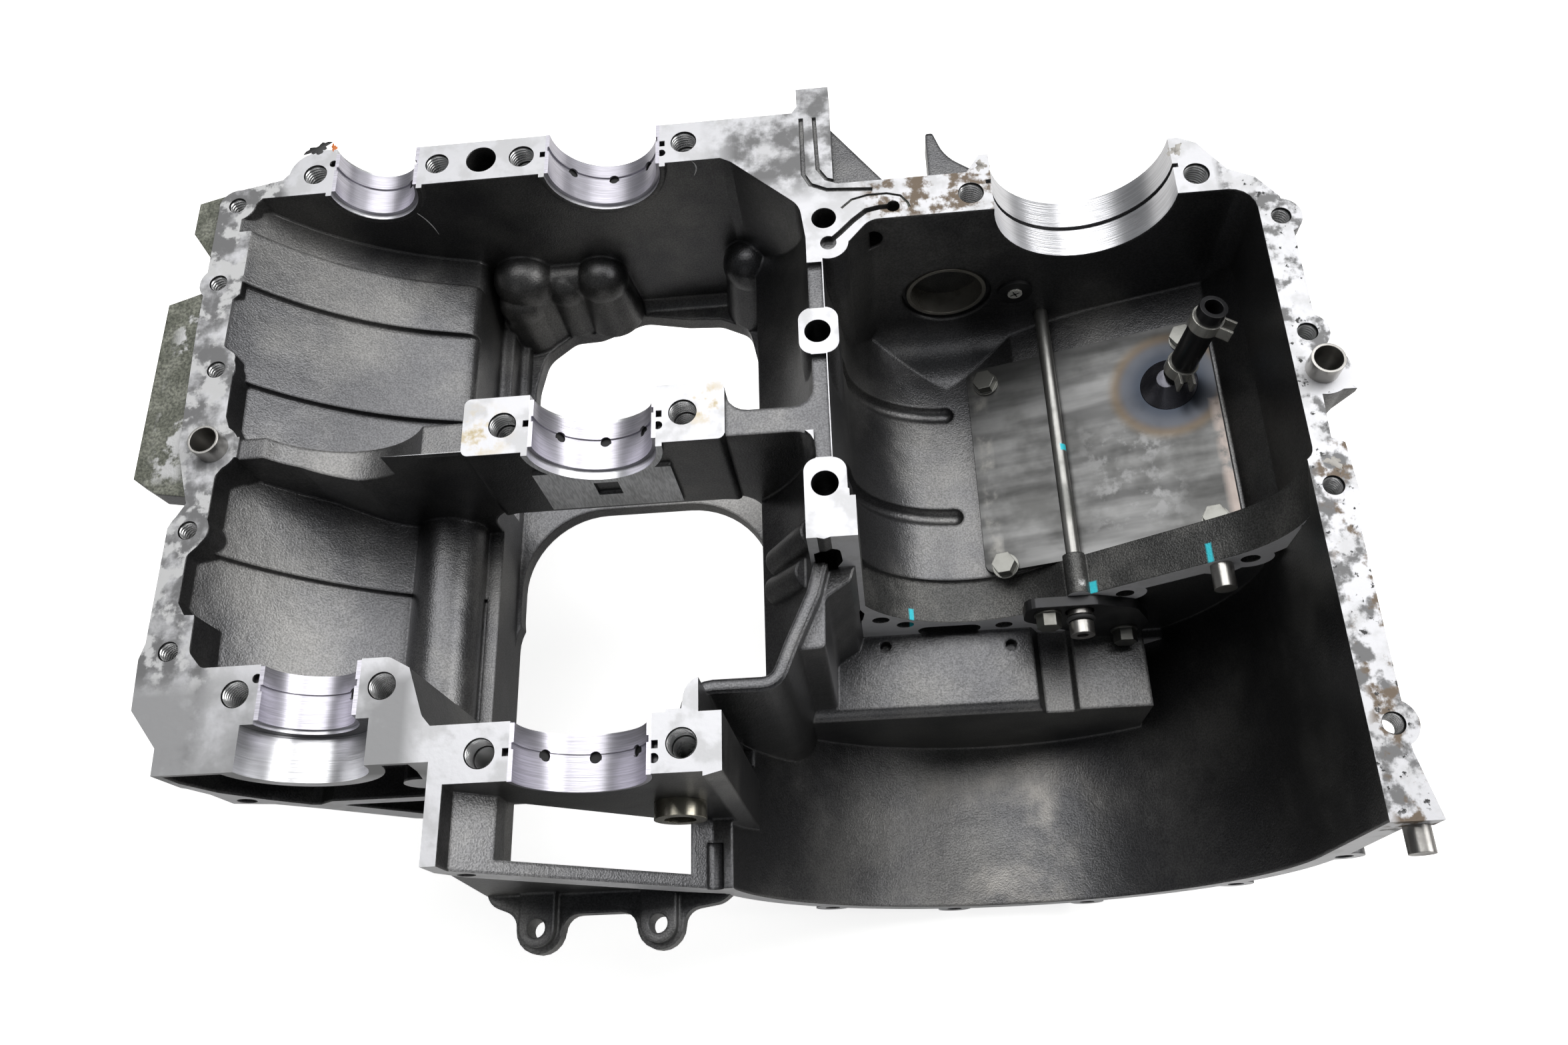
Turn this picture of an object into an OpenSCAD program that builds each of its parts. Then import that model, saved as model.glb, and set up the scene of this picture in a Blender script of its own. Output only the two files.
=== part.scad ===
// Crankcase half of a parallel twin engine, mating face up.
// Origin: crankshaft axis at the middle main bearing, on the mating face.
// X runs across the shafts to the gearbox, Y along the shafts, Z up out of the case.

/* [Crankshaft] */
// Bore radius of the main bearing shells
main_r = 21; // [18:0.5:24]
// Thickness of the bearing shells
shell_t = 1.5; // [1.2:0.1:2.5]
// Width of the main bearing shells along the shaft
main_shell_w = 18.6; // [14:0.2:22]
// Distance from the middle to the rear main bearing
rear_main_y = 118.8; // [112:0.2:124]
// Distance from the middle to the front main bearing
front_main_y = 116.2; // [110:0.2:122]
// Half the spacing of the main bearing bolts
main_bolt_x = 31.9; // [30:0.1:34]
// Thread diameter of the main bearing bolts
main_bolt_d = 10; // [8:0.5:11]
// Radius swept free around the crankshaft
crank_clear_r = 77.5; // [74:0.5:79]

/* [Balancer] */
// Distance from the crankshaft to the balancer shaft
balancer_x = 90.2; // [88:0.2:92]
// Bore radius of the balancer bearing shells
balancer_r = 15.5; // [13:0.5:17]
// Width of the balancer bearing shells
balancer_shell_w = 18.2; // [14:0.2:20]
// Distance from the middle main bearing to the front balancer bearing
balancer_front_y = 92.4; // [90:0.2:94]
// Half the spacing of the balancer bearing bolts
balancer_bolt_x = 24.6; // [23:0.1:27]
// Radius of the front shaft seal seat
seal_r = 21.4; // [19:0.2:23]

/* [Gearbox] */
// Distance from the crankshaft to the output shaft
output_x = 179.4; // [177:0.2:182]
// Radius of the output bearing saddle
output_r = 32.8; // [29:0.2:35]
// Half the spacing of the output bearing bolts
output_bolt_x = 40.6; // [39:0.1:43]
// Distance from the crankshaft to the input shaft
input_x = 130.5; // [128:0.5:133]
// Depth of the input shaft below the mating face
input_z = 53; // [50:0.5:56]
// Bore radius of the input shaft bearing
input_r = 14.4; // [12:0.2:16]
// Radius of the opening in the gearbox bulkhead
arch_r = 44; // [41:0.5:46]

/* [Clutch housing] */
// Radius of the clutch housing bore
clutch_r = 100; // [96:1:104]
// Distance of the clutch housing centre from the crankshaft
clutch_x = 136; // [133:0.5:139]
// Depth of the clutch housing centre below the mating face
clutch_z = 64; // [60:0.5:68]
// Distance from the middle main bearing to the clutch cover face
clutch_face_y = 150; // [146:0.5:154]

/* [Casting] */
// Usual wall thickness
wall = 6; // [4:0.5:8]
// Depth of the cylinder deck below the mating face
deck_z = 100; // [97:0.5:106]
// Thickness of the cylinder deck
deck_t = 7; // [5:0.5:10]
// Depth of the mating flange
flange_t = 9; // [7:0.5:12]
// Thread diameter of the perimeter bolts
case_bolt_d = 7; // [6:0.5:8]

/* [Fitted pieces] */
// Outer radius of the dowel sleeves
sleeve_r = 5.6; // [5:0.1:7]
// Wall of the dowel sleeves
sleeve_t = 0.9; // [0.6:0.1:1.4]
// Height of the dowel sleeves above the mating face
sleeve_h = 7; // [5:0.5:12]
// Thickness of the breather plate
plate_t = 1.6; // [1:0.1:3]
// Slope of the breather plate in degrees
plate_tilt = 17.7; // [15:0.1:20]
// Outer radius of the breather hose
hose_r = 5.2; // [4.4:0.1:6]
// Outer radius of the oil tube
tube_r = 2.7; // [2:0.1:3.4]

/* [Hidden] */
$fn = 64;

rear_in_y = rear_main_y - 9.4;
rear_out_y = rear_main_y + 9.2;
mid_half = 11.3;
front_in_y = -(front_main_y - 9.7);
front_out_y = -(front_main_y + 9.1);
bal_rear_y = rear_main_y + 0.1;
bal_in_y = -(balancer_front_y - 9.6);
bal_mid_y = -(balancer_front_y + 10.4);
bal_face_y = -118;
gear_rear_y = 75;
bulk_rear_y = -34.5;
bulk_front_y = -50.5;
clutch_rear_y = -84;
shelf_z = 105;
plate_x = 138.7;
plate_z = 87.7;
floor_end_x = 232;

// Extrudes a profile drawn in X and Z from y0 to y1
module along_y(y0, y1) {
    translate([0, y1, 0]) rotate([90, 0, 0]) linear_extrude(y1 - y0) children();
}

// Extrudes a profile drawn in Y and Z from x0 to x1
module along_x(x0, x1) {
    translate([x0, 0, 0]) rotate([90, 0, 90]) linear_extrude(x1 - x0) children();
}

// Extrudes a plan outline from z0 to z1
module up(z0, z1) {
    translate([0, 0, z0]) linear_extrude(z1 - z0) children();
}

// Unit vector along v
function unit(v) = v / norm(v);

// Plane vector v turned by angle a
function turned(v, a) = [v[0] * cos(a) - v[1] * sin(a), v[0] * sin(a) + v[1] * cos(a)];

// Outline whose corners [x, y, r] become arcs of radius r
function soft(pts) = [
    for (i = [0 : len(pts) - 1])
        let (
            n = len(pts),
            p = [pts[i][0], pts[i][1]],
            before = pts[(i + n - 1) % n],
            after = pts[(i + 1) % n],
            u = unit([before[0], before[1]] - p),
            v = unit([after[0], after[1]] - p),
            r = len(pts[i]) > 2 ? pts[i][2] : 0,
            half = acos(u * v) / 2,
            c = p + unit(u + v) * r / sin(half),
            start = p + u * r / tan(half) - c,
            sweep = (180 - 2 * half) * sign(cross(start, p + v * r / tan(half) - c))
        )
        each r == 0 ? [p] : [for (k = [0 : 5]) c + turned(start, sweep * k / 5)]
];

// Path of width w with round ends and joints
module channel(pts, w) {
    for (p = pts) translate(p) circle(w / 2);
    for (i = [0 : len(pts) - 2]) {
        d = pts[i + 1] - pts[i];
        translate(pts[i]) rotate(atan2(d[1], d[0])) translate([0, -w / 2]) square([norm(d), w]);
    }
}

// Round bar between two points
module rod(a, b, r) {
    v = b - a;
    translate(a) rotate([0, acos(v[2] / norm(v)), atan2(v[1], v[0])]) cylinder(r = r, h = norm(v));
}

// Upright round boss with a wide foot and a domed top
module domed_boss(x, y, top, r) {
    dome_r = 1.08 * r;
    translate([x, y, -deck_z]) cylinder(r1 = 1.35 * r, r2 = r, h = deck_z + top - dome_r);
    translate([x, y, top - dome_r]) sphere(dome_r);
}

module rect(x0, x1, y0, y1) {
    translate([x0, y0]) square([x1 - x0, y1 - y0]);
}

// Rectangle with round corners, drawn without offset
module rounded(x0, x1, y0, y1, r) {
    union() {
        rect(x0 + r, x1 - r, y0, y1);
        rect(x0, x1, y0 + r, y1 - r);
        for (x = [x0 + r, x1 - r], y = [y0 + r, y1 - r]) translate([x, y]) circle(r);
    }
}

module hole(x, y, r, z0, z1) {
    translate([x, y, z0]) cylinder(r = r, h = z1 - z0);
}

module hole_y(x, z, r, y0, y1) {
    translate([x, y1, z]) rotate([90, 0, 0]) cylinder(r = r, h = y1 - y0);
}

// Bolt holes in the perimeter flange, one per boss
perimeter_bolts = [
    [-144.8, 107], [-146.8, 70.7], [-141.4, 32.1], [-141.2, -32.4], [-140.3, -76.4],
    [245.9, 61.6], [245.5, 13.4], [242.3, -44], [243.5, -121.6]
];
left_dowel = [-137.2, -0.9];
right_dowel = [247.4, -1.4];

// Outer edge of the mating flange
module outer_outline() {
    union() {
        polygon([
            [-152, 107], [-146, 114], [-128, 117.5], [-124, 122], [-114, 131], [-74, rear_out_y],
            [74, rear_out_y], [76, 131], [76, 139.5], [88.5, 139.5], [88.5, 95], [91, 92.5],
            [138, 92.5], [143, 100], [216, 100], [222, 97], [231, 84], [240, 79.5], [247, 70],
            [249, 54], [248.8, 0], [257, -9.5], [245.5, -9.5], [245, -27], [249, -29], [250, -50],
            [247.5, -56], [247, -130], [251.5, -clutch_face_y], [-48, -clutch_face_y],
            [-48, bal_face_y], [-138.7, bal_face_y], [-139, -109], [-149.3, -96], [-150.2, -78.6],
            [-148.7, -73], [-148.7, -31], [-143.5, -22], [-146, -14], [-150, 0], [-152, 50]
        ]);
        for (p = perimeter_bolts) translate(p) circle(7.4);
        translate(right_dowel) circle(9.6);
        translate([-114.6, bal_rear_y]) circle(11);
    }
}

// Rear chamber of crankshaft and balancer as seen on the mating face
module rear_chamber_outline() {
    difference() {
        polygon(soft([
            [-135, rear_in_y], [-140, 104, 4], [-143.5, 99], [-143.5, 82, 2], [-141, 78, 2], [-137.5, 77.5, 2],
            [-137.5, 65], [-140, 62.5], [-140, 42, 2], [-135, 38, 2], [-134.5, 12], [-131, 3],
            [40, 3], [40, 8.6], [46.5, 8.6], [46.5, 0.4, 8], [77.3, 0.4, 7], [77.3, 69], [75.5, 84, 10],
            [50, 107.2, 4], [46, rear_in_y]
        ]));
        translate(perimeter_bolts[0]) circle(7.4);
        translate(perimeter_bolts[2]) circle(7.2);
        translate(left_dowel) circle(9.2);
        translate([85.5, 66.5]) circle(7.4);
        rounded(73.3, 87.5, 19.5, 38.5, 5);
        middle_pad_outline();
    }
}

module middle_pad_outline() {
    rounded(-46.1, 46.5, -mid_half, mid_half, 2.5);
}

// Front chamber of crankshaft and balancer as seen on the mating face
module front_chamber_outline() {
    difference() {
        polygon(concat(soft([
            [77.3, -30], [77.3, -9.4, 7], [-60, -9.4], [-90, -9], [-110, -5],
            [-130, -5], [-134.8, -12, 3], [-134.8, -27], [-136, -38, 3], [-140, -42, 3], [-140, -59, 2],
            [-137, -63.8], [-133.4, -64], [-133, -77, 4], [-128, bal_in_y, 3], [-64, bal_in_y, 5],
            [-57, bal_in_y - 4], [-51.5, -103, 4], [-48.5, front_in_y]
        ]), beside(lip_line, lip_r)));
        translate(perimeter_bolts[3]) circle(7.4);
        translate(left_dowel) circle(9.2);
        pad_front_outline();
        middle_pad_outline();
    }
}

module pad_front_outline() {
    rounded(73, 87.5, -50.5, -21.4, 5);
    rect(73, 90, bulk_front_y, -36);
}

// Gearbox chamber as seen on the mating face
module gearbox_outline() {
    difference() {
        polygon(soft([
            [83, 60], [93, 66, 6], [101, gear_rear_y, 8], [238.8, gear_rear_y, 9],
            [238.4, bulk_rear_y - 0.5, 5], [90, bulk_rear_y - 0.5], [83, -30]
        ]));
        translate([85.5, 66.5]) circle(7.4);
        rounded(73.3, 87.5, 19.5, 38.5, 5);
        pad_front_outline();
    }
}

// Cross section of the crankshaft space and the cylinder openings above the deck
module crank_profile() {
    intersection() {
        circle(crank_clear_r, $fn = 96);
        rect(-90, 90, -90, 2);
    }
    rect(-52, 53, -(deck_z - deck_t), -40);
    rect(-77.3, 77.3, -6, 2);
}

// Cross section of the balancer trough, deeper by d
module rear_trough_profile(d) {
    intersection() {
        translate([-40, 72]) circle(121 + d, $fn = 128);
        rect(-150, -70, -80, 2);
    }
    polygon(soft([
        [-72, 2], [-72, -44.7 - d], [-62, -47.8 - d, 6], [-62, -80, 2], [-56.5, -80], [-55.5, -88, 2],
        [-50, -88], [-50, 2]
    ]));
}

module front_trough_profile(d) {
    difference() {
        union() {
            intersection() {
                translate([-20, 60]) circle(135 + d, $fn = 128);
                rect(-150, -57, -80, 2);
            }
            rect(-58, -40, -70, 2);
        }
        translate([-71, -66]) circle(13.5);
    }
}

// Outer cross section of the crankshaft and balancer side
module crank_outer_profile() {
    intersection() {
        translate([-20, 60]) circle(142, $fn = 128);
        rect(-160, -50, -90, 0);
    }
    intersection() {
        circle(crank_clear_r + wall, $fn = 96);
        rect(-90, 90, -90, 0);
    }
    rect(-67, 60, -deck_z, -40);
    rect(-155, 90, -flange_t, 0);
}

// Flange round the opening in the gearbox bulkhead
module arch_flange_profile() {
    arch_profile(8.5);
    for (p = arch_bolts) translate(p) circle(8);
    translate(bulkhead_dowel_p) circle(8.5);
    translate(nozzle_p) circle(9);
}

// Opening in the gearbox bulkhead, grown by g
module arch_profile(g) {
    translate([130, -50]) circle(arch_r + g, $fn = 96);
    translate([196, -8]) circle(40 + g, $fn = 96);
    polygon([
        [88 - g, 3], [88 - g, -50], [130, -50 - g], [163, -77.5 - g], [216.6 + g / 2, -42.4 - g],
        [236 + g, -8], [236 + g, 3]
    ]);
}

// Cross section of the gearbox chamber, grown by g
module gearbox_profile(g) {
    translate([130, -50]) circle(42 + g, $fn = 96);
    polygon([
        [83 - g, 3], [83.5 - g, -20], [88 - g, -50], [110, -60], [137, -60], [137, plate_level(137) - g],
        [floor_end_x, plate_level(floor_end_x) - g], [238.8 + g, -38 - g], [238.8 + g, 3]
    ]);
}

// Height of the breather plate's seat at x
function plate_level(x) = -plate_z + (x - plate_x) * tan(plate_tilt);

// Length section of the gearbox chamber with its round rear corner
module gearbox_side_cut() {
    r = 22;
    along_x(80, 250) {
        rect(-40, gear_rear_y, -70, 2);
        rect(-40, gear_rear_y - r, -100, -60);
        translate([gear_rear_y - r, -70]) circle(r);
    }
}

// Outer edge of the clutch cover face
module clutch_face_profile() {
    translate([clutch_x, -clutch_z]) circle(clutch_r + 7, $fn = 128);
    rect(clutch_x, 244, -clutch_z, 0);
    for (p = cover_bolts) translate(p) circle(6.6);
}

// Cross section of the clutch chamber
module clutch_bore_profile() {
    translate([clutch_x, -clutch_z]) circle(clutch_r, $fn = 128);
    rect(clutch_x - clutch_r + 1.2, 236, -clutch_z, 2);
}

// Round ridge between crankshaft and clutch: its middle line from front to rear
lip_r = 2.4;
lip_z = 20;
lip_line = soft([
    [29.2, front_in_y], [31, -92.7, 9], [59.8, -92.7, 7], [65.5, -79, 8], [73.4, -62, 8], [76.5, bulk_front_y]
]);

// A line moved sideways by d, to its left
function beside(line, d) = [
    for (i = [0 : len(line) - 1])
        let (
            last = len(line) - 1,
            along = unit(line[min(i + 1, last)] - line[max(i - 1, 0)])
        )
        line[i] + d * [-along[1], along[0]]
];

// Strip with square ends that reaches d to each side of a line
module strip(line, d) {
    back = beside(line, -d);
    polygon(concat(beside(line, d), [for (i = [len(back) - 1 : -1 : 0]) back[i]]));
}

// Raised lip round the clutch chamber's opening, with a worn top edge
module lip_ridge() {
    edge = 0.9;
    difference() {
        union() {
            up(-deck_z, -lip_z - edge) strip(lip_line, lip_r);
            up(-lip_z - edge, -lip_z) strip(lip_line, lip_r - edge);
        }
        up(-deck_z - 1, 0) rect(0, 90, bulk_front_y + 1, 0);
    }
}

// Ledge and plateau beside the ridge, stepping down to the shelf
module lip_ledge() {
    up(-shelf_z - 1, -27) polygon(soft([
        [70, -62], [80, bulk_front_y], [88, bulk_front_y], [86, -56, 3], [77, -62, 3], [76.4, -79.5, 2],
        [65.5, -80, 1]
    ]));
    up(-shelf_z - 6, -shelf_z) polygon(soft([
        [64, -78.8, 1], [68, -73.5, 2], [76, -69.5, 5], [79, -62, 5], [80, bulk_front_y], [92, bulk_front_y],
        [90, -78, 3]
    ]));
}

// Clutch chamber as seen on the mating face
module clutch_outline() {
    polygon(concat([
        [81, bulk_front_y], [236, bulk_front_y], [236, -160], [37.5, -160], [37.5, -127], [44.5, -125.3],
        [44.5, front_in_y], [36, front_in_y]
    ], beside(lip_line, -lip_r)));
}

cover_bolts = [
    for (a = [-128.7, -99.5, -70.4, -36.2, -1.1])
        [clutch_x + (clutch_r + 8) * cos(a), -clutch_z + (clutch_r + 8) * sin(a)]
];
tunnel_bolts = [[-40, -20], [31, -77]];

// Solid body of the crankshaft and balancer side
module crank_body() {
    intersection() {
        up(-deck_z, 0) intersection() {
            outer_outline();
            rect(-160, 92, -126, 150);
        }
        along_y(front_out_y, rear_out_y + 12) crank_outer_profile();
    }
    intersection() {
        up(-deck_z, 0) outer_outline();
        along_y(bal_face_y, bal_mid_y - 3) balancer_face_profile();
    }
}

// Face for the cover in front of the balancer shaft
module balancer_face_profile() {
    polygon([
        [-139, 0], [-139, -14], [-135, -30], [-135, -46], [-122, -50], [-110, -61],
        [-85, -87], [-60, -deck_z], [-40, -deck_z], [-40, 0]
    ]);
}

// Body round the gearbox
module gearbox_body() {
    intersection() {
        up(-150, 0) intersection() {
            outer_outline();
            rect(70, 260, bulk_front_y, 102);
        }
        along_y(bulk_front_y, 102) {
            gearbox_profile(wall);
            polygon([
                [130, -96], [137, -100], [146, plate_level(146) - 17], [233, plate_level(233) - 17], [246, -46],
                [250, -20], [258, 0], [80, 0], [100, -80]
            ]);
        }
    }
    intersection() {
        up(-150, 0) outer_outline();
        along_y(bulk_front_y, bulk_rear_y) {
            arch_profile(11);
            rect(78, 249, -40, 0);
        }
    }
}

// Body round the clutch and the timing chain tunnel
module clutch_body() {
    intersection() {
        up(-190, 0) outer_outline();
        union() {
            along_y(-clutch_face_y, clutch_rear_y + wall) intersection() {
                clutch_face_profile();
                rect(30, 260, -190, 0);
            }
            along_y(clutch_rear_y, bulk_front_y + 6) shelf_body_profile();
            along_y(-clutch_face_y, bulk_rear_y) rect(236, 260, -flange_t, 0);
            along_y(-clutch_face_y, front_out_y + 1) tunnel_face_profile();
        }
    }
    along_y(-clutch_face_y + 3, front_in_y) polygon([
        [-49, -8], [-57, -92], [-57, -deck_z], [42, -deck_z], [42, -8]
    ]);
    up(-deck_z, -deck_z + 7) polygon(soft(concat(
        [[42, front_in_y], [42, -144, 4], [31, -152.5, 8]],
        [for (x = [deck_lugs[1], deck_lugs[0]]) each [
            [x + lug_r, -154.6, 6], [x + lug_r, -lug_y - lug_r, lug_r], [x - lug_r, -lug_y - lug_r, lug_r],
            [x - lug_r, -154.6, 6]
        ]],
        [[-57, -150, 7], [-57, front_in_y]]
    )));
    for (x = deck_lugs) up(-deck_z, -deck_z + 12) {
        translate([x, -lug_y]) circle(6.6);
        rect(x - 6.6, x + 6.6, -lug_y, -140);
    }
}

// Body under the shelf
module shelf_body_profile() {
    intersection() {
        clutch_face_profile();
        polygon([
            [56, 0], [56, -shelf_z - wall], [155, -shelf_z - wall], [165, -119], [193, -119], [193, -190],
            [250, -190], [250, 0]
        ]);
    }
}

// Face in front of the timing chain tunnel
module tunnel_face_profile() {
    polygon([[-48, 0], [-48, -13], [-42, -24], [-35, -31], [20, -82], [45, -100], [80, -60], [80, 0]]);
}

// Clears the middle bulkhead below its arch
module under_bulkhead_cut() {
    along_y(-mid_half - 8, mid_half + 8) intersection() {
        crank_profile();
        union() {
            rect(-52, 53, -deck_z, -63);
            rect(-38, 39, -deck_z, -49);
            for (x = [-38, 39]) translate([x, -63]) circle(14);
        }
    }
}

deck_lugs = [-36.5, 8.5];
lug_y = 159.6;
lug_r = 8.6;

// Bearing saddle cut along Y
module saddle(x, r, y0, y1) {
    hole_y(x, 0, r, y0, y1);
}

// Hollow of the rear crankshaft chamber with its stepped floor
module rear_chamber_cut() {
    steps = [[94, rear_in_y, 4], [70.5, 94, 0], [31, 70.5, 2.6], [3, 31, 5.2]];
    intersection() {
        up(-deck_z + deck_t, 1) rear_chamber_outline();
        union() {
            along_y(-2, rear_in_y) crank_profile();
            for (s = steps) along_y(s[0], s[1]) rear_trough_profile(s[2]);
        }
    }
}

module front_chamber_cut() {
    steps = [[-37.7, -4, 0], [-84, -37.7, 2.6], [-107, -84, 2.6]];
    intersection() {
        up(-deck_z + deck_t, 1) front_chamber_outline();
        union() {
            along_y(front_in_y, -4) crank_profile();
            for (s = steps) along_y(s[0], s[1]) front_trough_profile(s[2]);
        }
    }
}

// Middle bulkhead below its bearing, arched over the cylinder openings
module middle_bulkhead() {
    difference() {
        up(-49, 0) middle_pad_outline();
        under_bulkhead_cut();
    }
}

// Openings of the two cylinders in the deck
module cylinder_cut() {
    up(-deck_z - 1, -deck_z + deck_t + 1) {
        polygon(soft([
            [-49.5, 14, 24], [-49.5, 70, 30], [-46, 86, 12], [-34, 95.5, 8], [-22, 96, 10], [-2, 103.5, 12],
            [18, 99.5, 20], [33, 98.5, 10], [46, 92, 8], [50.5, 70, 20], [50.5, 14, 24]
        ]));
        rounded(-50.5, 52.3, -70, 8.5, 34);
        difference() {
            rounded(-52, 51.5, -105, -30, 20);
            strip(lip_line, lip_r + 0.3);
        }
    }
}

// Dips the webs below the mating face
module web_cut() {
    along_y(-9.2, 3.2) {
        rect(-128, -46.2, -2, 2);
        intersection() {
            translate([-balancer_x, 18]) circle(35, $fn = 96);
            rect(-128, -46.2, -40, 2);
        }
    }
    up(-2.5, 1) {
        rect(46.6, 82.7, -10.5, 10);
        rect(77, 82.7, -21.2, 19.3);
        rect(77.3, 82.7, 38.2, 58);
    }
}

module gearbox_cut() {
    intersection() {
        up(-120, 1) gearbox_outline();
        along_y(bulk_rear_y, gear_rear_y) gearbox_profile(0);
        gearbox_side_cut();
    }
    along_y(bulk_front_y - 1, bulk_rear_y + 1) arch_profile(0);
    breather_pocket();
}

// Places its children in the sloping plane of the breather plate
module on_plate() {
    translate([plate_x, 0, -plate_z]) rotate([0, -plate_tilt, 0]) children();
}

module breather_pocket() {
    on_plate() translate([13.5, -24, -9]) cube([68, 67, 9]);
}

// Hollow of the clutch housing with the shelf behind it
module clutch_cut() {
    intersection() {
        up(-190, 1) clutch_outline();
        union() {
            along_y(-clutch_face_y - 1, clutch_rear_y) clutch_bore_profile();
            along_y(clutch_rear_y - 1, bulk_front_y) shelf_profile();
            shelf_edge_cut();
        }
    }
    for (p = [[96.8, -55.1], [146.6, -57.2]]) hole(p[0], p[1], 2.2, -shelf_z - 5, -shelf_z + 1);
    along_y(bulk_front_y - 1, bulk_front_y + 4.5) difference() {
        intersection() {
            shelf_profile();
            rect(176, 240, -130, 2);
        }
        arch_flange_profile();
    }
    up(-lip_z - lip_r, 1) difference() {
        strip(lip_line, lip_r + 0.1);
        rect(20, 40, -112, lip_line[0][1] + 1.2);
    }
}

// Material left off along the round front edge of the shelf
module shelf_edge_cut() {
    r = 7;
    along_x(60, 170) difference() {
        rect(clutch_rear_y - 1, clutch_rear_y + r, -shelf_z - r, -shelf_z + 1);
        translate([clutch_rear_y + r, -shelf_z - r]) circle(r + 0.8);
    }
}

// Space above the shelf under the gearbox bulkhead
module shelf_profile() {
    intersection() {
        clutch_bore_profile();
        polygon([
            [36, 2], [36, -62], [65, -shelf_z], [155, -shelf_z], [158, -112], [169, -112], [171, -109],
            [199, -109], [199, -170], [240, -170], [240, 2]
        ]);
    }
}

// Oil gallery and sealant grooves in the joint face behind the gearbox corner
module joint_grooves() {
    up(-3, 1) channel(gallery_line, 2.2);
    hole(gallery_line[0][0], gallery_line[0][1], 3, -3, 1);
    hole(gallery_line[5][0], gallery_line[5][1], 2.5, -12, 1);
    up(-1, 1) strip([[91, 81], [95, 84.5], [101, 86], [108, 86], [113, 84.5], [115.5, 81], [116, 79]], 0.5);
    up(-1.2, 1) {
        strip([[77.5, 125], [77.5, 98], [80, 93], [86, 90], [103, 88.5]], 0.9);
        strip([[82.5, 125], [83, 100], [86, 95], [91, 93]], 0.8);
    }
}
gallery_line = [[85.5, 66], [90, 70], [95, 75], [100, 79], [105, 80], [110, 80]];

// Oil grooves round the left side of the gearbox trough
module trough_grooves() {
    r = 3.5;
    for (y = [41, -6]) translate([130, y, -50]) rotate([90, 0, 0]) {
        intersection() {
            rotate_extrude() translate([42, 0]) circle(r);
            translate([-50, -50, -r - 1]) cube([48, 58, 2 * r + 2]);
        }
        translate([-2, -42, 0]) sphere(r + 0.2);
    }
}

// Notches beside the bearing seats at the joint face
module parting_notches() {
    for (y = [0, rear_main_y, -front_main_y], s = [-1, 1]) {
        up(-3.5, 1) translate([s * (main_r + shell_t + 0.9), y]) square([2.4, 2.6], center = true);
    }
    for (y = [-4.5, rear_main_y - 4.5, -front_main_y - 4.3]) hole(23.3, y, 1.6, -3, 1);
    for (y = [bal_rear_y + 4.6, -balancer_front_y + 4.9]) hole(-balancer_x - 17.8, y, 1.6, -3, 1);
}

module thread_hole(p, d, depth) {
    hole(p[0], p[1], d / 2, -depth, 1);
}

module case_casting() {
    color("gray") difference() {
        union() {
            difference() {
                union() {
                    crank_body();
                    gearbox_body();
                    clutch_body();
                    wings();
                    rear_arm_ribs();
                }
                rear_chamber_cut();
                front_chamber_cut();
                gearbox_cut();
                clutch_cut();
                cylinder_cut();
                under_bulkhead_cut();
            }
            middle_bulkhead();
            chamber_posts();
            rear_bosses();
            wall_waves();
            bearing_rings();
            hole_y(tube_x, -tube_z, tube_r + 1.5, bulk_front_y, bulk_rear_y);
            lip_ridge();
            lip_ledge();
        }
        bearing_cuts();
        bolt_cuts();
        front_left_recess();
        chain_window();
        web_cut();
        joint_grooves();
        trough_grooves();
        parting_notches();
        bulkhead_recesses();
    }
}

// Recesses in the front of the gearbox bulkhead, left of and under the opening
module bulkhead_recesses() {
    along_y(bulk_front_y - 1, bulk_front_y + 7) polygon(soft([
        [74.5, -14], [83.4, -8, 3], [84, -22, 5], [81, -29.5, 3], [74.5, -34]
    ]));
    along_y(bulk_front_y - 1, bulk_front_y + 7) polygon(soft([
        [76, -44.5, 2], [84, -51, 5], [85, -64, 6], [89.5, -77, 4], [88, -88, 2], [83, -83, 4], [78.5, -58, 6]
    ]));
    along_y(bulk_front_y - 1, bulk_front_y + 5) polygon(soft([
        [109, -97.5, 4], [136, -97.5, 4], [134, -106, 3], [111, -106, 3]
    ]));
    for (p = [[105, -93], [100.5, -12]]) hole_y(p[0], p[1], 3.4, bulk_front_y - 1, bulk_front_y + 10);
    hole_y(100.5, -12, 5.2, gear_rear_y - 1, gear_rear_y + 12);
}

// Domed bosses and the rounded foot of the rear wall
module rear_bosses() {
    difference() {
        union() {
            domed_boss(-48, 106.5, -50, 12.5);
            domed_boss(-50.5, 99.5, -60, 9.5);
            domed_boss(-31, 106, -59, 9);
            domed_boss(-14.5, 106, -54, 10.5);
            domed_boss(50.5, 104.5, -50, 11);
            rod([-48, 108, -67], [-14.5, 108, -67], 9);
            along_x(-40, 48) difference() {
                rect(rear_in_y - 8, rear_in_y + 1, -deck_z + deck_t - 1, -deck_z + deck_t + 8);
                translate([rear_in_y - 8, -deck_z + deck_t + 8]) circle(9);
            }
        }
        cylinder_cut();
    }
}

// Waves in the wall between the front cylinder opening and the ridge
module wall_waves() {
    rod([60, -38, -51], [75, -38, -25], 6);
    rod([59, -48.5, -53], [72, -50, -33], 6);
}

// Raised machined rings round the bearing seats, and the machined face under the middle one
ring_h = 1.6;
module bearing_rings() {
    ring_r = main_r + shell_t + 2.2;
    along_y(-mid_half - 1.4, -mid_half + 1) difference() {
        union() {
            lower_half(0, ring_r);
            rect(-25, 25, -45, -15.6);
        }
        rect(-5, 4, -35, -25);
    }
    along_y(rear_in_y - ring_h, rear_in_y + 1) {
        lower_half(0, ring_r);
        lower_half(-balancer_x, balancer_r + shell_t + 2.2);
    }
}

module lower_half(x, r) {
    intersection() {
        translate([x, 0]) circle(r, $fn = 96);
        rect(x - r, x + r, -r, 0);
    }
}

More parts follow.
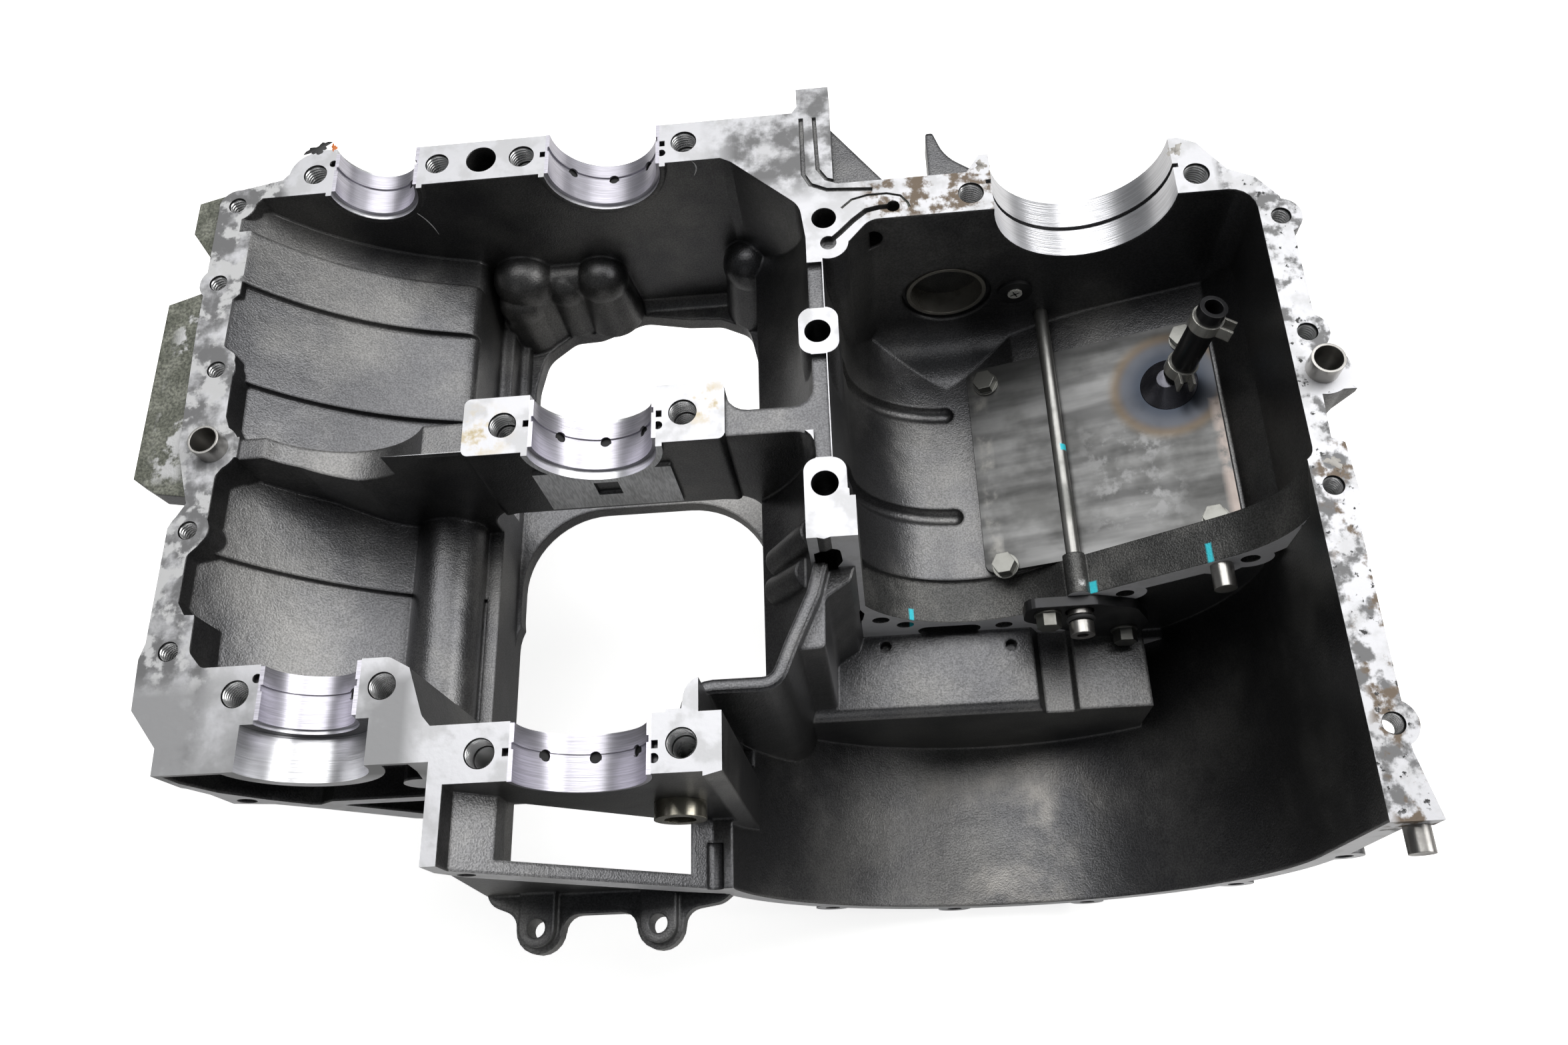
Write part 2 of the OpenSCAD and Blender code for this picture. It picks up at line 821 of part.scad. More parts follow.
// Posts under the pads between crankshaft and gearbox
module chamber_posts() {
    up(-60, 0) rounded(73.3, 87.5, 19.5, 38.5, 5);
    up(-60, 0) rounded(73, 87.5, -50.5, -21.4, 5);
    up(-70, 0) rect(73, 90, bulk_front_y, -36);
    up(-50, 0) translate([85.5, 66.5]) circle(7.4);
    up(-60, -2.5) rect(77.3, 83, 36, 62);
}

// Wings outside the left flange
module wings() {
    up(-deck_z, -75) translate([4.6, -124.5]) circle(8);
    along_y(front_out_y - 1.6, front_out_y + 1) translate([24, -45]) circle(10.5);
    up(-9.5, -1) {
        polygon([[-161, 110], [-150, 113], [-150, 80], [-161, 95.5]]);
        polygon([[-165.5, 63], [-158, 65.5], [-145, 70], [-144, -19], [-156, -17], [-165.5, -10.5]]);
    }
}

module rear_arm_ribs() {
    up(-14, -8) polygon([[88, 125.6], [112, 92], [88, 92]]);
    up(-14, -4) polygon(soft([[124.5, 92], [124.5, 115.6, 1], [127.2, 115.6, 1], [131, 104, 18], [147, 92]]));
}

module bearing_cuts() {
    seat = main_r + shell_t;
    saddle(0, seat, -mid_half - 2, mid_half + 2);
    saddle(0, seat, rear_in_y - ring_h - 1, rear_out_y + 13);
    saddle(0, seat, front_out_y - 1, front_in_y + 1);
    bal_seat = balancer_r + shell_t;
    saddle(-balancer_x, bal_seat, rear_in_y - ring_h - 1, rear_out_y + 13);
    saddle(-balancer_x, bal_seat, bal_mid_y - 1, bal_in_y + 1);
    saddle(-balancer_x, seal_r, bal_face_y - 1, bal_mid_y);
    saddle(output_x, output_r, gear_rear_y - 2, 103);
    saddle(output_x, output_r + 2, 86.6, 88.4);
    hole_y(tube_x, -tube_z, tube_r, tube_y0, tube_y1);
    hole_y(input_x, -input_z, 18, gear_rear_y - 1, gear_rear_y + 3);
    hole_y(input_x, -input_z, input_r + 1.6, gear_rear_y, gear_rear_y + 11);
}

module bolt_cuts() {
    for (p = perimeter_bolts) thread_hole(p, case_bolt_d, 22);
    for (s = [-1, 1], y = [0, rear_main_y, -front_main_y]) {
        thread_hole([s * main_bolt_x, y], main_bolt_d, 8);
        thread_hole([s * main_bolt_x, y], main_bolt_d - 1.4, 38);
    }
    for (s = [-1, 1], y = [bal_rear_y, -balancer_front_y]) {
        thread_hole([s * balancer_bolt_x - balancer_x, y], main_bolt_d - 0.6, 34);
    }
    for (s = [-1, 1]) thread_hole([output_x + s * output_bolt_x, 83], main_bolt_d - 0.6, 34);
    on_plate() for (p = plate_bolts) hole(p[0], p[1], plate_bolt_r, -7, 1);
    thread_hole([-48, 119], 12, 30);
    thread_hole([84.3, 77.2], 9.2, 60);
    thread_hole([80, 28.7], 9.4, 60);
    thread_hole([80, -31], 9.4, 60);
    thread_hole(left_dowel, 2 * sleeve_r, dowel_depth);
    thread_hole(left_dowel, case_bolt_d + 1, 30);
    thread_hole(right_dowel, 2 * sleeve_r, dowel_depth);
    thread_hole(right_dowel, case_bolt_d + 1, 30);
    for (x = deck_lugs) hole(x, -lug_y, 3.4, -deck_z - 1, -deck_z + 13);
    for (p = concat(cover_bolts, tunnel_bolts)) hole_y(p[0], p[1], 3, -clutch_face_y - 1, -clutch_face_y + 16);
    for (p = arch_bolts) hole_y(p[0], p[1], 3.4, bulk_front_y - 1, bulk_front_y + 12);
    face_dowel_hole(bulkhead_dowel_p, bulkhead_dowel_r, bulk_front_y);
    face_dowel_hole(cover_dowel_p, cover_dowel_r, -clutch_face_y);
}
arch_bolts = [[83, -37], [95.5, -86], [144, -100], [187, -72], [226, -44]];

// Recess in the face in front of the balancer, round the seal housing
module front_left_recess() {
    along_y(bal_face_y - 1, bal_face_y + 12) difference() {
        polygon([
            [-136, 1], [-136, -12], [-131, -28], [-121, -42], [-110, -54], [-107, -54.5],
            [-101, -50], [-63, -50], [-62, -36], [-58, -22], [-56, -12], [-55, 1]
        ]);
        translate([-balancer_x, 0]) circle(seal_r + 5);
        translate([-60, -30]) circle(7);
        rect(-140, -112, -2, 2);
        rect(-68, -50, -2, 2);
    }
    along_y(bal_face_y - 1, bal_face_y + 10) polygon([
        [-99.5, -57.5], [-97, -56.5], [-64, -56.5], [-64, -88], [-72, -86]
    ]);
    hole_y(-128.3, -42.5, 3.4, bal_face_y - 1, bal_face_y + 12);
}

// Open box over the timing chain tunnel, the window in its sloping floor and the hollow below
module chain_window() {
    floor_pts = [[-43, 2], [-43, -10.6], [30, -77], [38.5, -77], [38.5, 2]];
    along_y(-clutch_face_y - 1, front_out_y) polygon(floor_pts);
    up(-90, 0) rect(-31.8, 23.3, -145.5, front_out_y);
    difference() {
        up(-deck_z - 1, -30) rect(-51, 25, -144, -112);
        along_y(-160, -100) polygon([
            [-60, 10], [-60, -8], [-43, -20], [24, -84], [30, -90], [40, -60], [40, 10]
        ]);
    }
}

// Half shell of a plain bearing with a groove and oil holes
module half_shell(x, y, r, w, groove_y, hole_angles) {
    translate([x, y, 0]) difference() {
        rotate([90, 0, 0]) translate([0, 0, -w / 2]) intersection() {
            difference() {
                cylinder(r = r + shell_t, h = w, $fn = 96);
                translate([0, 0, -1]) cylinder(r = r, h = w + 2, $fn = 96);
            }
            translate([-r - 5, -r - 5, 0]) cube([2 * r + 10, r + 5, w]);
        }
        rotate([90, 0, 0]) translate([0, 0, -groove_y - 1.1]) cylinder(r = r + 0.7, h = 2.2, $fn = 96);
        for (a = hole_angles) rotate([0, a, 0]) translate([0, groove_y, -r - 4]) cylinder(r = 2, h = 8);
    }
}

module main_shell(y, groove_y) {
    color("lavender") half_shell(0, y, main_r, main_shell_w, groove_y, [-45, 0, 45]);
}
module main_shell_rear() { main_shell(rear_main_y, 2.4); }
module main_shell_middle() { main_shell(0, 1.7); }
module main_shell_front() { main_shell(-front_main_y, 1.9); }

module balancer_shell_rear() {
    color("lavender") half_shell(-balancer_x, bal_rear_y, balancer_r, balancer_shell_w, 1.6, [-38]);
}

module balancer_shell_front() {
    color("lavender") half_shell(-balancer_x, -balancer_front_y, balancer_r, balancer_shell_w, 1.6, [-38]);
}

module dowel_sleeve(p) {
    color("silver") translate([p[0], p[1], -dowel_depth]) difference() {
        union() {
            cylinder(r = sleeve_r - dowel_gap, h = dowel_depth);
            translate([0, 0, dowel_depth]) cylinder(r = sleeve_r, h = sleeve_h);
        }
        translate([0, 0, -1]) cylinder(r = sleeve_r - sleeve_t, h = dowel_depth + sleeve_h + 2);
    }
}
dowel_gap = 0.3;
dowel_depth = 12;
module dowel_sleeve_left() { dowel_sleeve(left_dowel); }
module dowel_sleeve_right() { dowel_sleeve(right_dowel); }

tube_x = 169.8;
tube_z = 71;
plate_len = (floor_end_x - 1.5 - plate_x) / cos(plate_tilt);
tube_y0 = -40;
tube_y1 = 78;
plate_y0 = -34.2;
plate_y1 = 57;
gasket_t = 0.8;
plate_bolts = [[8, 49.2], [7.9, -32.4], [87.4, 49.2], [87.4, -28.6]];
plate_bolt_r = 2.4;

module plate_outline(g) {
    rounded(-g, plate_len + g, plate_y0, plate_y1 + g, 4);
}

module breather_gasket() {
    color("black") on_plate() difference() {
        linear_extrude(gasket_t) difference() {
            plate_outline(0.5);
            rect(13.5, 81.5, -24, 43);
        }
        for (p = plate_bolts) hole(p[0], p[1], 2.6, -1, 3);
    }
}

module breather_plate() {
    color("darkgray") on_plate() translate([0, 0, gasket_t]) difference() {
        linear_extrude(plate_t) plate_outline(0);
        for (p = plate_bolts) hole(p[0], p[1], 2.6, -1, 3);
        hole(stub_p[0], stub_p[1], 3.6, -1, 3);
    }
}

module hex_bolt(shank_r, shank_l, af, head_h) {
    cylinder(r = af / 2 + 1.2, h = 0.8);
    translate([0, 0, 0.8]) cylinder(r = af / 2 / cos(30), h = head_h, $fn = 6);
    translate([0, 0, -shank_l]) cylinder(r = shank_r, h = shank_l + 0.4);
}

module breather_bolts() {
    color("silver") on_plate() for (p = plate_bolts) {
        translate([p[0], p[1], gasket_t + plate_t]) hex_bolt(plate_bolt_r, 9, 8, 4.2);
    }
}

stub_p = [79.4, 31];
stub_r = 3.4;
stub_h = 16;

// Places its children along the axis of the breather stub, which leans off the plate
module on_stub() {
    translate([plate_x + stub_p[0] * cos(plate_tilt), stub_p[1], -plate_z + stub_p[0] * sin(plate_tilt)])
        rotate([-6, 9, 0]) children();
}

module breather_stub() {
    color("slategray") difference() {
        union() {
            on_stub() cylinder(r = stub_r, h = stub_h);
            on_plate() translate([stub_p[0], stub_p[1], gasket_t]) cylinder(r1 = 13, r2 = stub_r + 0.6, h = 7);
        }
        on_stub() translate([0, 0, -2]) cylinder(r = stub_r - 0.8, h = stub_h + 4);
        on_plate() translate([40, -20, -20]) cube([80, 100, 20 + gasket_t + plate_t]);
    }
}

module breather_hose() {
    color("black") on_stub() translate([0, 0, 8.5]) difference() {
        cylinder(r = hose_r, h = 40);
        translate([0, 0, -1]) cylinder(r = stub_r, h = 42);
    }
}

// Spring band with two ears, h up the hose, turned by a
module hose_clip(h, a) {
    color("goldenrod") on_stub() translate([0, 0, h]) rotate([0, 0, a]) difference() {
        union() {
            cylinder(r = hose_r + 0.8, h = 5);
            translate([-3, -hose_r - 5, 0]) cube([1, 6, 5]);
            translate([2, -hose_r - 5, 0]) cube([1, 6, 5]);
        }
        translate([0, 0, -1]) cylinder(r = hose_r, h = 7);
    }
}
module hose_clip_lower() { hose_clip(11, 0); }
module hose_clip_upper() { hose_clip(38, 60); }

module oil_tube() {
    color("silver") difference() {
        hole_y(tube_x, -tube_z, tube_r, tube_y0, tube_y1);
        hole_y(tube_x, -tube_z, tube_r - 0.8, tube_y0 - 1, tube_y1 + 1);
    }
}

module input_bearing_ring() {
    color("silver") difference() {
        hole_y(input_x, -input_z, input_r + 1.6, gear_rear_y + 1, gear_rear_y + 11);
        hole_y(input_x, -input_z, input_r, gear_rear_y, gear_rear_y + 12);
    }
}

module retainer_cup() {
    color("dimgray") difference() {
        hole_y(157.8, -53.5, 7, gear_rear_y - 1.5, gear_rear_y);
        hole_y(157.8, -53.5, 3, gear_rear_y - 3, gear_rear_y + 1);
    }
}

module retainer_screw() {
    color("silver") hole_y(157.8, -53.5, 2.9, gear_rear_y - 2, gear_rear_y);
}

nozzle_p = [170.5, -78];

module oil_nozzle() {
    color("silver") difference() {
        union() {
            hole_y(nozzle_p[0], nozzle_p[1], 4.6, bulk_front_y - 13.5, bulk_front_y - 8.6);
            hole_y(nozzle_p[0], nozzle_p[1], 3.7, bulk_front_y - 9, bulk_front_y - 5.5);
            hole_y(nozzle_p[0], nozzle_p[1], 4.6, bulk_front_y - 6, bulk_front_y);
        }
        hole_y(nozzle_p[0], nozzle_p[1], 2.2, bulk_front_y - 14, bulk_front_y - 6);
    }
}

module nozzle_o_ring() {
    color("black") translate([nozzle_p[0], bulk_front_y - 7.3, nozzle_p[1]]) rotate([90, 0, 0]) rotate_extrude()
        translate([4.6, 0]) circle(0.9, $fn = 24);
}

module guide_bracket() {
    color("black") difference() {
        along_y(bulk_front_y - 4, bulk_front_y) polygon(soft([
            [150, -71, 5], [150, -86, 6], [166, -98, 8], [180, -109, 5], [198, -109, 6], [199, -94, 6],
            [192, -78, 6], [176, -71, 5]
        ]));
        for (p = bracket_bolt_p) hole_y(p[0], p[1], 3, bulk_front_y - 6, bulk_front_y + 1);
        hole_y(nozzle_p[0], nozzle_p[1], 5.4, bulk_front_y - 6, bulk_front_y + 1);
    }
}
bracket_bolt_p = [[158.6, -78.5], [190.5, -101.5]];

module bracket_bolts() {
    color("silver") for (p = bracket_bolt_p) {
        translate([p[0], bulk_front_y - 4, p[1]]) rotate([90, 0, 0]) hex_bolt(2.8, 3.6, 8, 5);
    }
}

module face_dowel_hole(p, r, y) {
    hole_y(p[0], p[1], r, y - 1, y + pin_depth);
}

// Dowel pin along Y at p, radius r, standing h out of the face at y
module face_dowel(p, r, h, y) {
    color("silver") hole_y(p[0], p[1], r, y - h, y);
    color("silver") hole_y(p[0], p[1], r - dowel_gap, y - 1, y + pin_depth);
}
bulkhead_dowel_p = [217, -48.5];
bulkhead_dowel_r = 4;
cover_dowel_p = [246.5, -9];
cover_dowel_r = 3.9;
pin_depth = 9;
module bulkhead_dowel() { face_dowel(bulkhead_dowel_p, bulkhead_dowel_r, 9, bulk_front_y); }
module clutch_cover_dowel() { face_dowel(cover_dowel_p, cover_dowel_r, 8, -clutch_face_y); }

module oil_passage_ring() {
    color("tan") difference() {
        hole_y(24, -45, 9, front_out_y - 6, front_out_y);
        hole_y(24, -45, 5.5, front_out_y - 7, front_out_y + 1);
    }
}

case_casting();
main_shell_rear();
main_shell_middle();
main_shell_front();
balancer_shell_rear();
balancer_shell_front();
dowel_sleeve_left();
dowel_sleeve_right();
breather_gasket();
breather_plate();
breather_bolts();
breather_stub();
breather_hose();
hose_clip_lower();
hose_clip_upper();
oil_tube();
input_bearing_ring();
retainer_cup();
retainer_screw();
oil_nozzle();
nozzle_o_ring();
guide_bracket();
bracket_bolts();
bulkhead_dowel();
clutch_cover_dowel();
oil_passage_ring();
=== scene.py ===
"""Looks of a cast engine crankcase half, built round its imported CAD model.

The casting, its bearing shells and its fitted pieces are the model's own solids. This script
gives them their finishes, cuts the threads into the bolt holes and adds the marks of use.
"""

from __future__ import annotations

import logging
import math
from dataclasses import dataclass
from enum import Enum

import bpy
import numpy as np
from mathutils import Matrix, Vector

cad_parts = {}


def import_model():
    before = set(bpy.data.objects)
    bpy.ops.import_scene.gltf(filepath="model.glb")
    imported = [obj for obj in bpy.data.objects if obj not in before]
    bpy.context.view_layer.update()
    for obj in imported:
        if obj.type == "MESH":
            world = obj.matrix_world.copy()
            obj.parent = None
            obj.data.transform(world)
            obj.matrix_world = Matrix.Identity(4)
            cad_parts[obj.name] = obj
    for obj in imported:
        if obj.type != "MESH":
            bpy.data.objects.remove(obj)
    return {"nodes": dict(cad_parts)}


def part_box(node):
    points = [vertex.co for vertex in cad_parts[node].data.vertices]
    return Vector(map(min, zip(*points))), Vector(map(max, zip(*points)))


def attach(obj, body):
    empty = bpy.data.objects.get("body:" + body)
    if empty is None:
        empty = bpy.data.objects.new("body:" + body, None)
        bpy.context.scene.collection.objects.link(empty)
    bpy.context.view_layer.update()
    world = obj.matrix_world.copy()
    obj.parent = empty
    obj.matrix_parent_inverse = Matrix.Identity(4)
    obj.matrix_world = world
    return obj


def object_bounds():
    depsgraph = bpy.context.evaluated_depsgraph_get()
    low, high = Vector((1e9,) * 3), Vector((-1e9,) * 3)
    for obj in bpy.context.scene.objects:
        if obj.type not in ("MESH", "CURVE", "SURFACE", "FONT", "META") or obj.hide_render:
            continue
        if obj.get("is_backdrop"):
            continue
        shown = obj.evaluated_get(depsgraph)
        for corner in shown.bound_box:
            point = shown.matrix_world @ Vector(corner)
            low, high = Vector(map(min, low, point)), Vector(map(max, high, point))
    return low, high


LOG = logging.getLogger("crankcase")
MM = 0.001
FLOOR_GAP = 0.0005

# How the casting's faces are told apart: gaps in metres, and shares of a face's normal.
PLANE_GAP = 1e-5
BORE_GAP = 4e-4
HOLE_GAP = 2e-4
HOLE_DEPTH = -0.04
SQUARE = 0.99
LEVEL = 0.02
BORE_INWARD = 0.97
HOLE_INWARD = 0.9
ARCH_SIDEWAYS, ARCH_DOWN = 0.1, -0.05

# Fixed numbers of the shader groups: sockets of the colour mix node, share and scale of the
# two noises of the cast grain (scale per metre), and bump heights in metres.
MIX_FACTOR, MIX_A, MIX_B, MIX_RESULT = 0, 6, 7, 2
FINE_SHARE, SLOW_SCALE = 0.35, 90.0
GRAIN_HEIGHT, CUT_HEIGHT = 0.001, 0.0005

# Noise levels between which the grain shades a colour, crest levels over which painted shade
# darkens the threads' roots, and the metal and roughness of a matt mark.
GRAIN_BAND = (0.3, 0.7)
ROOT_SHADE_BAND = (0.1, 0.55)
MATT_METALLIC = 0.1
MATT_ROUGHNESS = 0.6

Triple = tuple[float, float, float]
Colour = Triple
Socket = bpy.types.NodeSocket
Number = Socket | float


class Slot(Enum):
    """Material slots of the record, listed beside each fitted piece but not read; the pieces' finishes are
    given directly.
    """

    CASTING = "cast_aluminium"
    SHELL = "bearing_shell"
    DOWEL = "dowel_steel"
    PLATE = "plate_steel"
    GASKET = "gasket_black"
    BOLT = "zinc_bolt"
    WELD = "weld_steel"
    HOSE = "hose_rubber"
    CLIP = "clip_spring_steel"
    GROUND = "ground_steel"
    BLACK = "black_steel"
    OIL_RING = "oil_ring_metal"


class Face(Enum):
    """Kinds of surface on the casting, in the order of its material slots."""

    CAST = 0
    JOINT = 1
    BORE = 2
    HOLE = 3
    WING = 4
    SAWN = 5
    ARCH = 6


class Graph:
    """Builds the nodes of one material or shader group."""

    def __init__(self, tree: bpy.types.NodeTree) -> None:
        """Starts on an empty tree.

        Args:
            tree: the node tree of a material, a world or a group.
        """
        self.tree = tree
        tree.nodes.clear()

    def add(self, kind: str, inputs: dict | None = None, **settings) -> bpy.types.Node:
        """Adds a node.

        Args:
            kind: the node's type name.
            inputs: values or output sockets by input name or index.
            settings: the node's own properties.

        Returns:
            The new node.
        """
        node = self.tree.nodes.new(kind)
        for name, value in settings.items():
            setattr(node, name, value)
        for name, value in (inputs or {}).items():
            socket = node.inputs[name]
            if isinstance(value, Socket):
                self.tree.links.new(value, socket)
            else:
                socket.default_value = value
        return node

    def math(self, operation: str, a: Number, b: Number = 0.0, clamp: bool = False) -> Socket:
        """Returns the result of a math node on two values or sockets."""
        node = self.add("ShaderNodeMath", {0: a, 1: b}, operation=operation, use_clamp=clamp)
        return node.outputs[0]

    def mix(self, mask: Socket, a: Socket | Colour, b: Socket | Colour) -> Socket:
        """Mixes two colours.

        Args:
            mask: how much of b shows.
            a: the colour where the mask is 0.
            b: the colour where it is 1.

        Returns:
            The mixed colour's socket.
        """
        node = self.tree.nodes.new("ShaderNodeMix")
        node.data_type = "RGBA"
        for index, value in ((MIX_FACTOR, mask), (MIX_A, a), (MIX_B, b)):
            if isinstance(value, Socket):
                self.tree.links.new(value, node.inputs[index])
            else:
                node.inputs[index].default_value = (*value, 1.0)
        return node.outputs[MIX_RESULT]

    def scale(self, colour: Socket, tone: Socket) -> Socket:
        """Returns a colour made lighter or darker by a factor."""
        node = self.add("ShaderNodeVectorMath", {0: colour, "Scale": tone}, operation="SCALE")
        return node.outputs[0]

    def band(
        self, value: Socket, low: Number, high: Number, to_low: float = 0.0, to_high: float = 1.0
    ) -> Socket:
        """Takes a value from one range to another, with soft ends.

        Args:
            value: the value's socket.
            low: the least value of the first range.
            high: its greatest value.
            to_low: what low becomes.
            to_high: what high becomes.

        Returns:
            The new value's socket.
        """
        node = self.add(
            "ShaderNodeMapRange",
            {"Value": value, "From Min": low, "From Max": high, "To Min": to_low, "To Max": to_high},
            interpolation_type="SMOOTHSTEP",
        )
        return node.outputs["Result"]


def new_group(
    name: str, inputs: list[tuple], outputs: list[tuple]
) -> tuple[Graph, bpy.types.NodeOutputs, bpy.types.Node]:
    """Starts a shader node group.

    Args:
        name: the group's name.
        inputs: (name, socket type, default) of each input.
        outputs: (name, socket type) of each output.

    Returns:
        The group's graph, its input sockets by name, and its output node.
    """
    tree = bpy.data.node_groups.new(name, "ShaderNodeTree")
    for label, kind, value in inputs:
        socket = tree.interface.new_socket(name=label, in_out="INPUT", socket_type=kind)
        socket.default_value = value
    for label, kind in outputs:
        tree.interface.new_socket(name=label, in_out="OUTPUT", socket_type=kind)
    graph = Graph(tree)
    entry = graph.add("NodeGroupInput")
    leave = graph.add("NodeGroupOutput")
    return graph, entry.outputs, leave


def build_mottle() -> bpy.types.NodeTree:
    """Builds the cloudy mask of oil and wear: noise, squeezed between two levels.

    Returns:
        The group's node tree.
    """
    graph, given, leave = new_group(
        "mottle",
        [
            ("Scale", "NodeSocketFloat", 20.0), ("Low", "NodeSocketFloat", 0.4),
            ("High", "NodeSocketFloat", 0.6), ("Seed", "NodeSocketFloat", 0.0),
        ],
        [("Mask", "NodeSocketFloat")],
    )
    coords = graph.add("ShaderNodeTexCoord").outputs["Object"]
    noise = graph.add(
        "ShaderNodeTexNoise",
        {"Vector": coords, "W": given["Seed"], "Scale": given["Scale"], "Detail": 5.0, "Roughness": 0.6},
        noise_dimensions="4D",
    )
    level = graph.band(noise.outputs["Fac"], given["Low"], given["High"])
    graph.tree.links.new(level, leave.inputs["Mask"])
    return graph.tree


def build_cast_grain() -> bpy.types.NodeTree:
    """Builds the blasted grain of a cast skin: fine noise and pits as a bump normal.

    Returns:
        The group's node tree.
    """
    graph, given, leave = new_group(
        "cast_grain",
        [
            ("Grain", "NodeSocketFloat", 1400.0), ("Depth", "NodeSocketFloat", 0.2),
            ("Edge", "NodeSocketFloat", 0.0012),
        ],
        [("Normal", "NodeSocketVector"), ("Speckle", "NodeSocketFloat")],
    )
    coords = graph.add("ShaderNodeTexCoord").outputs["Object"]
    fine = graph.add("ShaderNodeTexNoise", {"Vector": coords, "Scale": given["Grain"], "Detail": 2.0})
    slow = graph.add("ShaderNodeTexNoise", {"Vector": coords, "Scale": SLOW_SCALE, "Detail": 3.0})
    height = graph.math("ADD", graph.math("MULTIPLY", fine.outputs["Fac"], FINE_SHARE), slow.outputs["Fac"])
    soft = graph.add("ShaderNodeBevel", {"Radius": given["Edge"]}, samples=4)
    rough = {"Strength": given["Depth"], "Distance": GRAIN_HEIGHT, "Height": height}
    bump = graph.add("ShaderNodeBump", rough | {"Normal": soft.outputs["Normal"]})
    graph.tree.links.new(bump.outputs["Normal"], leave.inputs["Normal"])
    graph.tree.links.new(fine.outputs["Fac"], leave.inputs["Speckle"])
    return graph.tree


def build_cutter_marks() -> bpy.types.NodeTree:
    """Builds the fine straight marks of a milling cutter: noise stretched along one direction.

    Returns:
        The group's node tree.
    """
    graph, given, leave = new_group(
        "cutter_marks",
        [("Across", "NodeSocketVector", (1500.0, 60.0, 1500.0)), ("Depth", "NodeSocketFloat", 0.1)],
        [("Normal", "NodeSocketVector"), ("Line", "NodeSocketFloat")],
    )
    coords = graph.add("ShaderNodeTexCoord").outputs["Object"]
    scaled = graph.add("ShaderNodeVectorMath", {0: coords, 1: given["Across"]}, operation="MULTIPLY")
    lines = graph.add("ShaderNodeTexNoise", {"Vector": scaled.outputs[0], "Scale": 1.0, "Detail": 3.0})
    rough = {"Strength": given["Depth"], "Distance": CUT_HEIGHT, "Height": lines.outputs["Fac"]}
    bump = graph.add("ShaderNodeBump", rough)
    graph.tree.links.new(bump.outputs["Normal"], leave.inputs["Normal"])
    graph.tree.links.new(lines.outputs["Fac"], leave.inputs["Line"])
    return graph.tree


def build_spot() -> bpy.types.NodeTree:
    """Builds a round mask: 1 within the inner distance of a centre, falling to 0 at the outer one.

    Returns:
        The group's node tree.
    """
    graph, given, leave = new_group(
        "spot",
        [("Centre", "NodeSocketVector", (0.0, 0.0, 0.0)), ("Inner", "NodeSocketFloat", 0.01),
         ("Outer", "NodeSocketFloat", 0.02)],
        [("Mask", "NodeSocketFloat")],
    )
    coords = graph.add("ShaderNodeTexCoord").outputs["Object"]
    gap = graph.add("ShaderNodeVectorMath", {0: coords, 1: given["Centre"]}, operation="DISTANCE")
    level = graph.band(gap.outputs["Value"], given["Inner"], given["Outer"], 1.0, 0.0)
    graph.tree.links.new(level, leave.inputs["Mask"])
    return graph.tree


def build_region() -> bpy.types.NodeTree:
    """Builds a box-shaped mask: 1 inside the box and 0 outside it, across a soft border.

    Returns:
        The group's node tree.
    """
    graph, given, leave = new_group(
        "region",
        [("Low", "NodeSocketVector", (0.0, 0.0, 0.0)), ("High", "NodeSocketVector", (0.01, 0.01, 0.01)),
         ("Soft", "NodeSocketFloat", 0.001)],
        [("Mask", "NodeSocketFloat")],
    )
    coords = graph.add("ShaderNodeTexCoord").outputs["Object"]
    above = graph.add("ShaderNodeVectorMath", {0: coords, 1: given["Low"]}, operation="SUBTRACT")
    below = graph.add("ShaderNodeVectorMath", {0: given["High"], 1: coords}, operation="SUBTRACT")
    inside = graph.add(
        "ShaderNodeVectorMath", {0: above.outputs[0], 1: below.outputs[0]}, operation="MINIMUM"
    )
    parts = graph.add("ShaderNodeSeparateXYZ", {0: inside.outputs[0]}).outputs
    least = graph.math("MINIMUM", graph.math("MINIMUM", parts[0], parts[1]), parts[2])
    mask = graph.math("DIVIDE", least, given["Soft"], clamp=True)
    graph.tree.links.new(mask, leave.inputs["Mask"])
    return graph.tree


class Finishes:
    """Shader groups, built once, and the materials that share them."""

    def __init__(self) -> None:
        """Builds the shared groups."""
        built = (build_mottle(), build_cast_grain(), build_cutter_marks(), build_spot(), build_region())
        self.groups = {group.name: group for group in built}
        self.made: dict[str, bpy.types.Material] = {}

    def use(self, graph: Graph, name: str, **inputs) -> bpy.types.Node:
        """Places a shared group in a material.

        Args:
            graph: the material's graph.
            name: the group's name.
            inputs: the group's input values.

        Returns:
            The group node.
        """
        node = graph.tree.nodes.new("ShaderNodeGroup")
        node.node_tree = self.groups[name]
        for label, value in inputs.items():
            node.inputs[label].default_value = value
        return node

    def material(self, finish: Finish) -> bpy.types.Material:
        """Returns a finish's material and makes it when it is first asked for.

        Args:
            finish: the finish.

        Returns:
            Its material.
        """
        if finish.name not in self.made:
            self.made[finish.name] = finish.build(self)
        return self.made[finish.name]


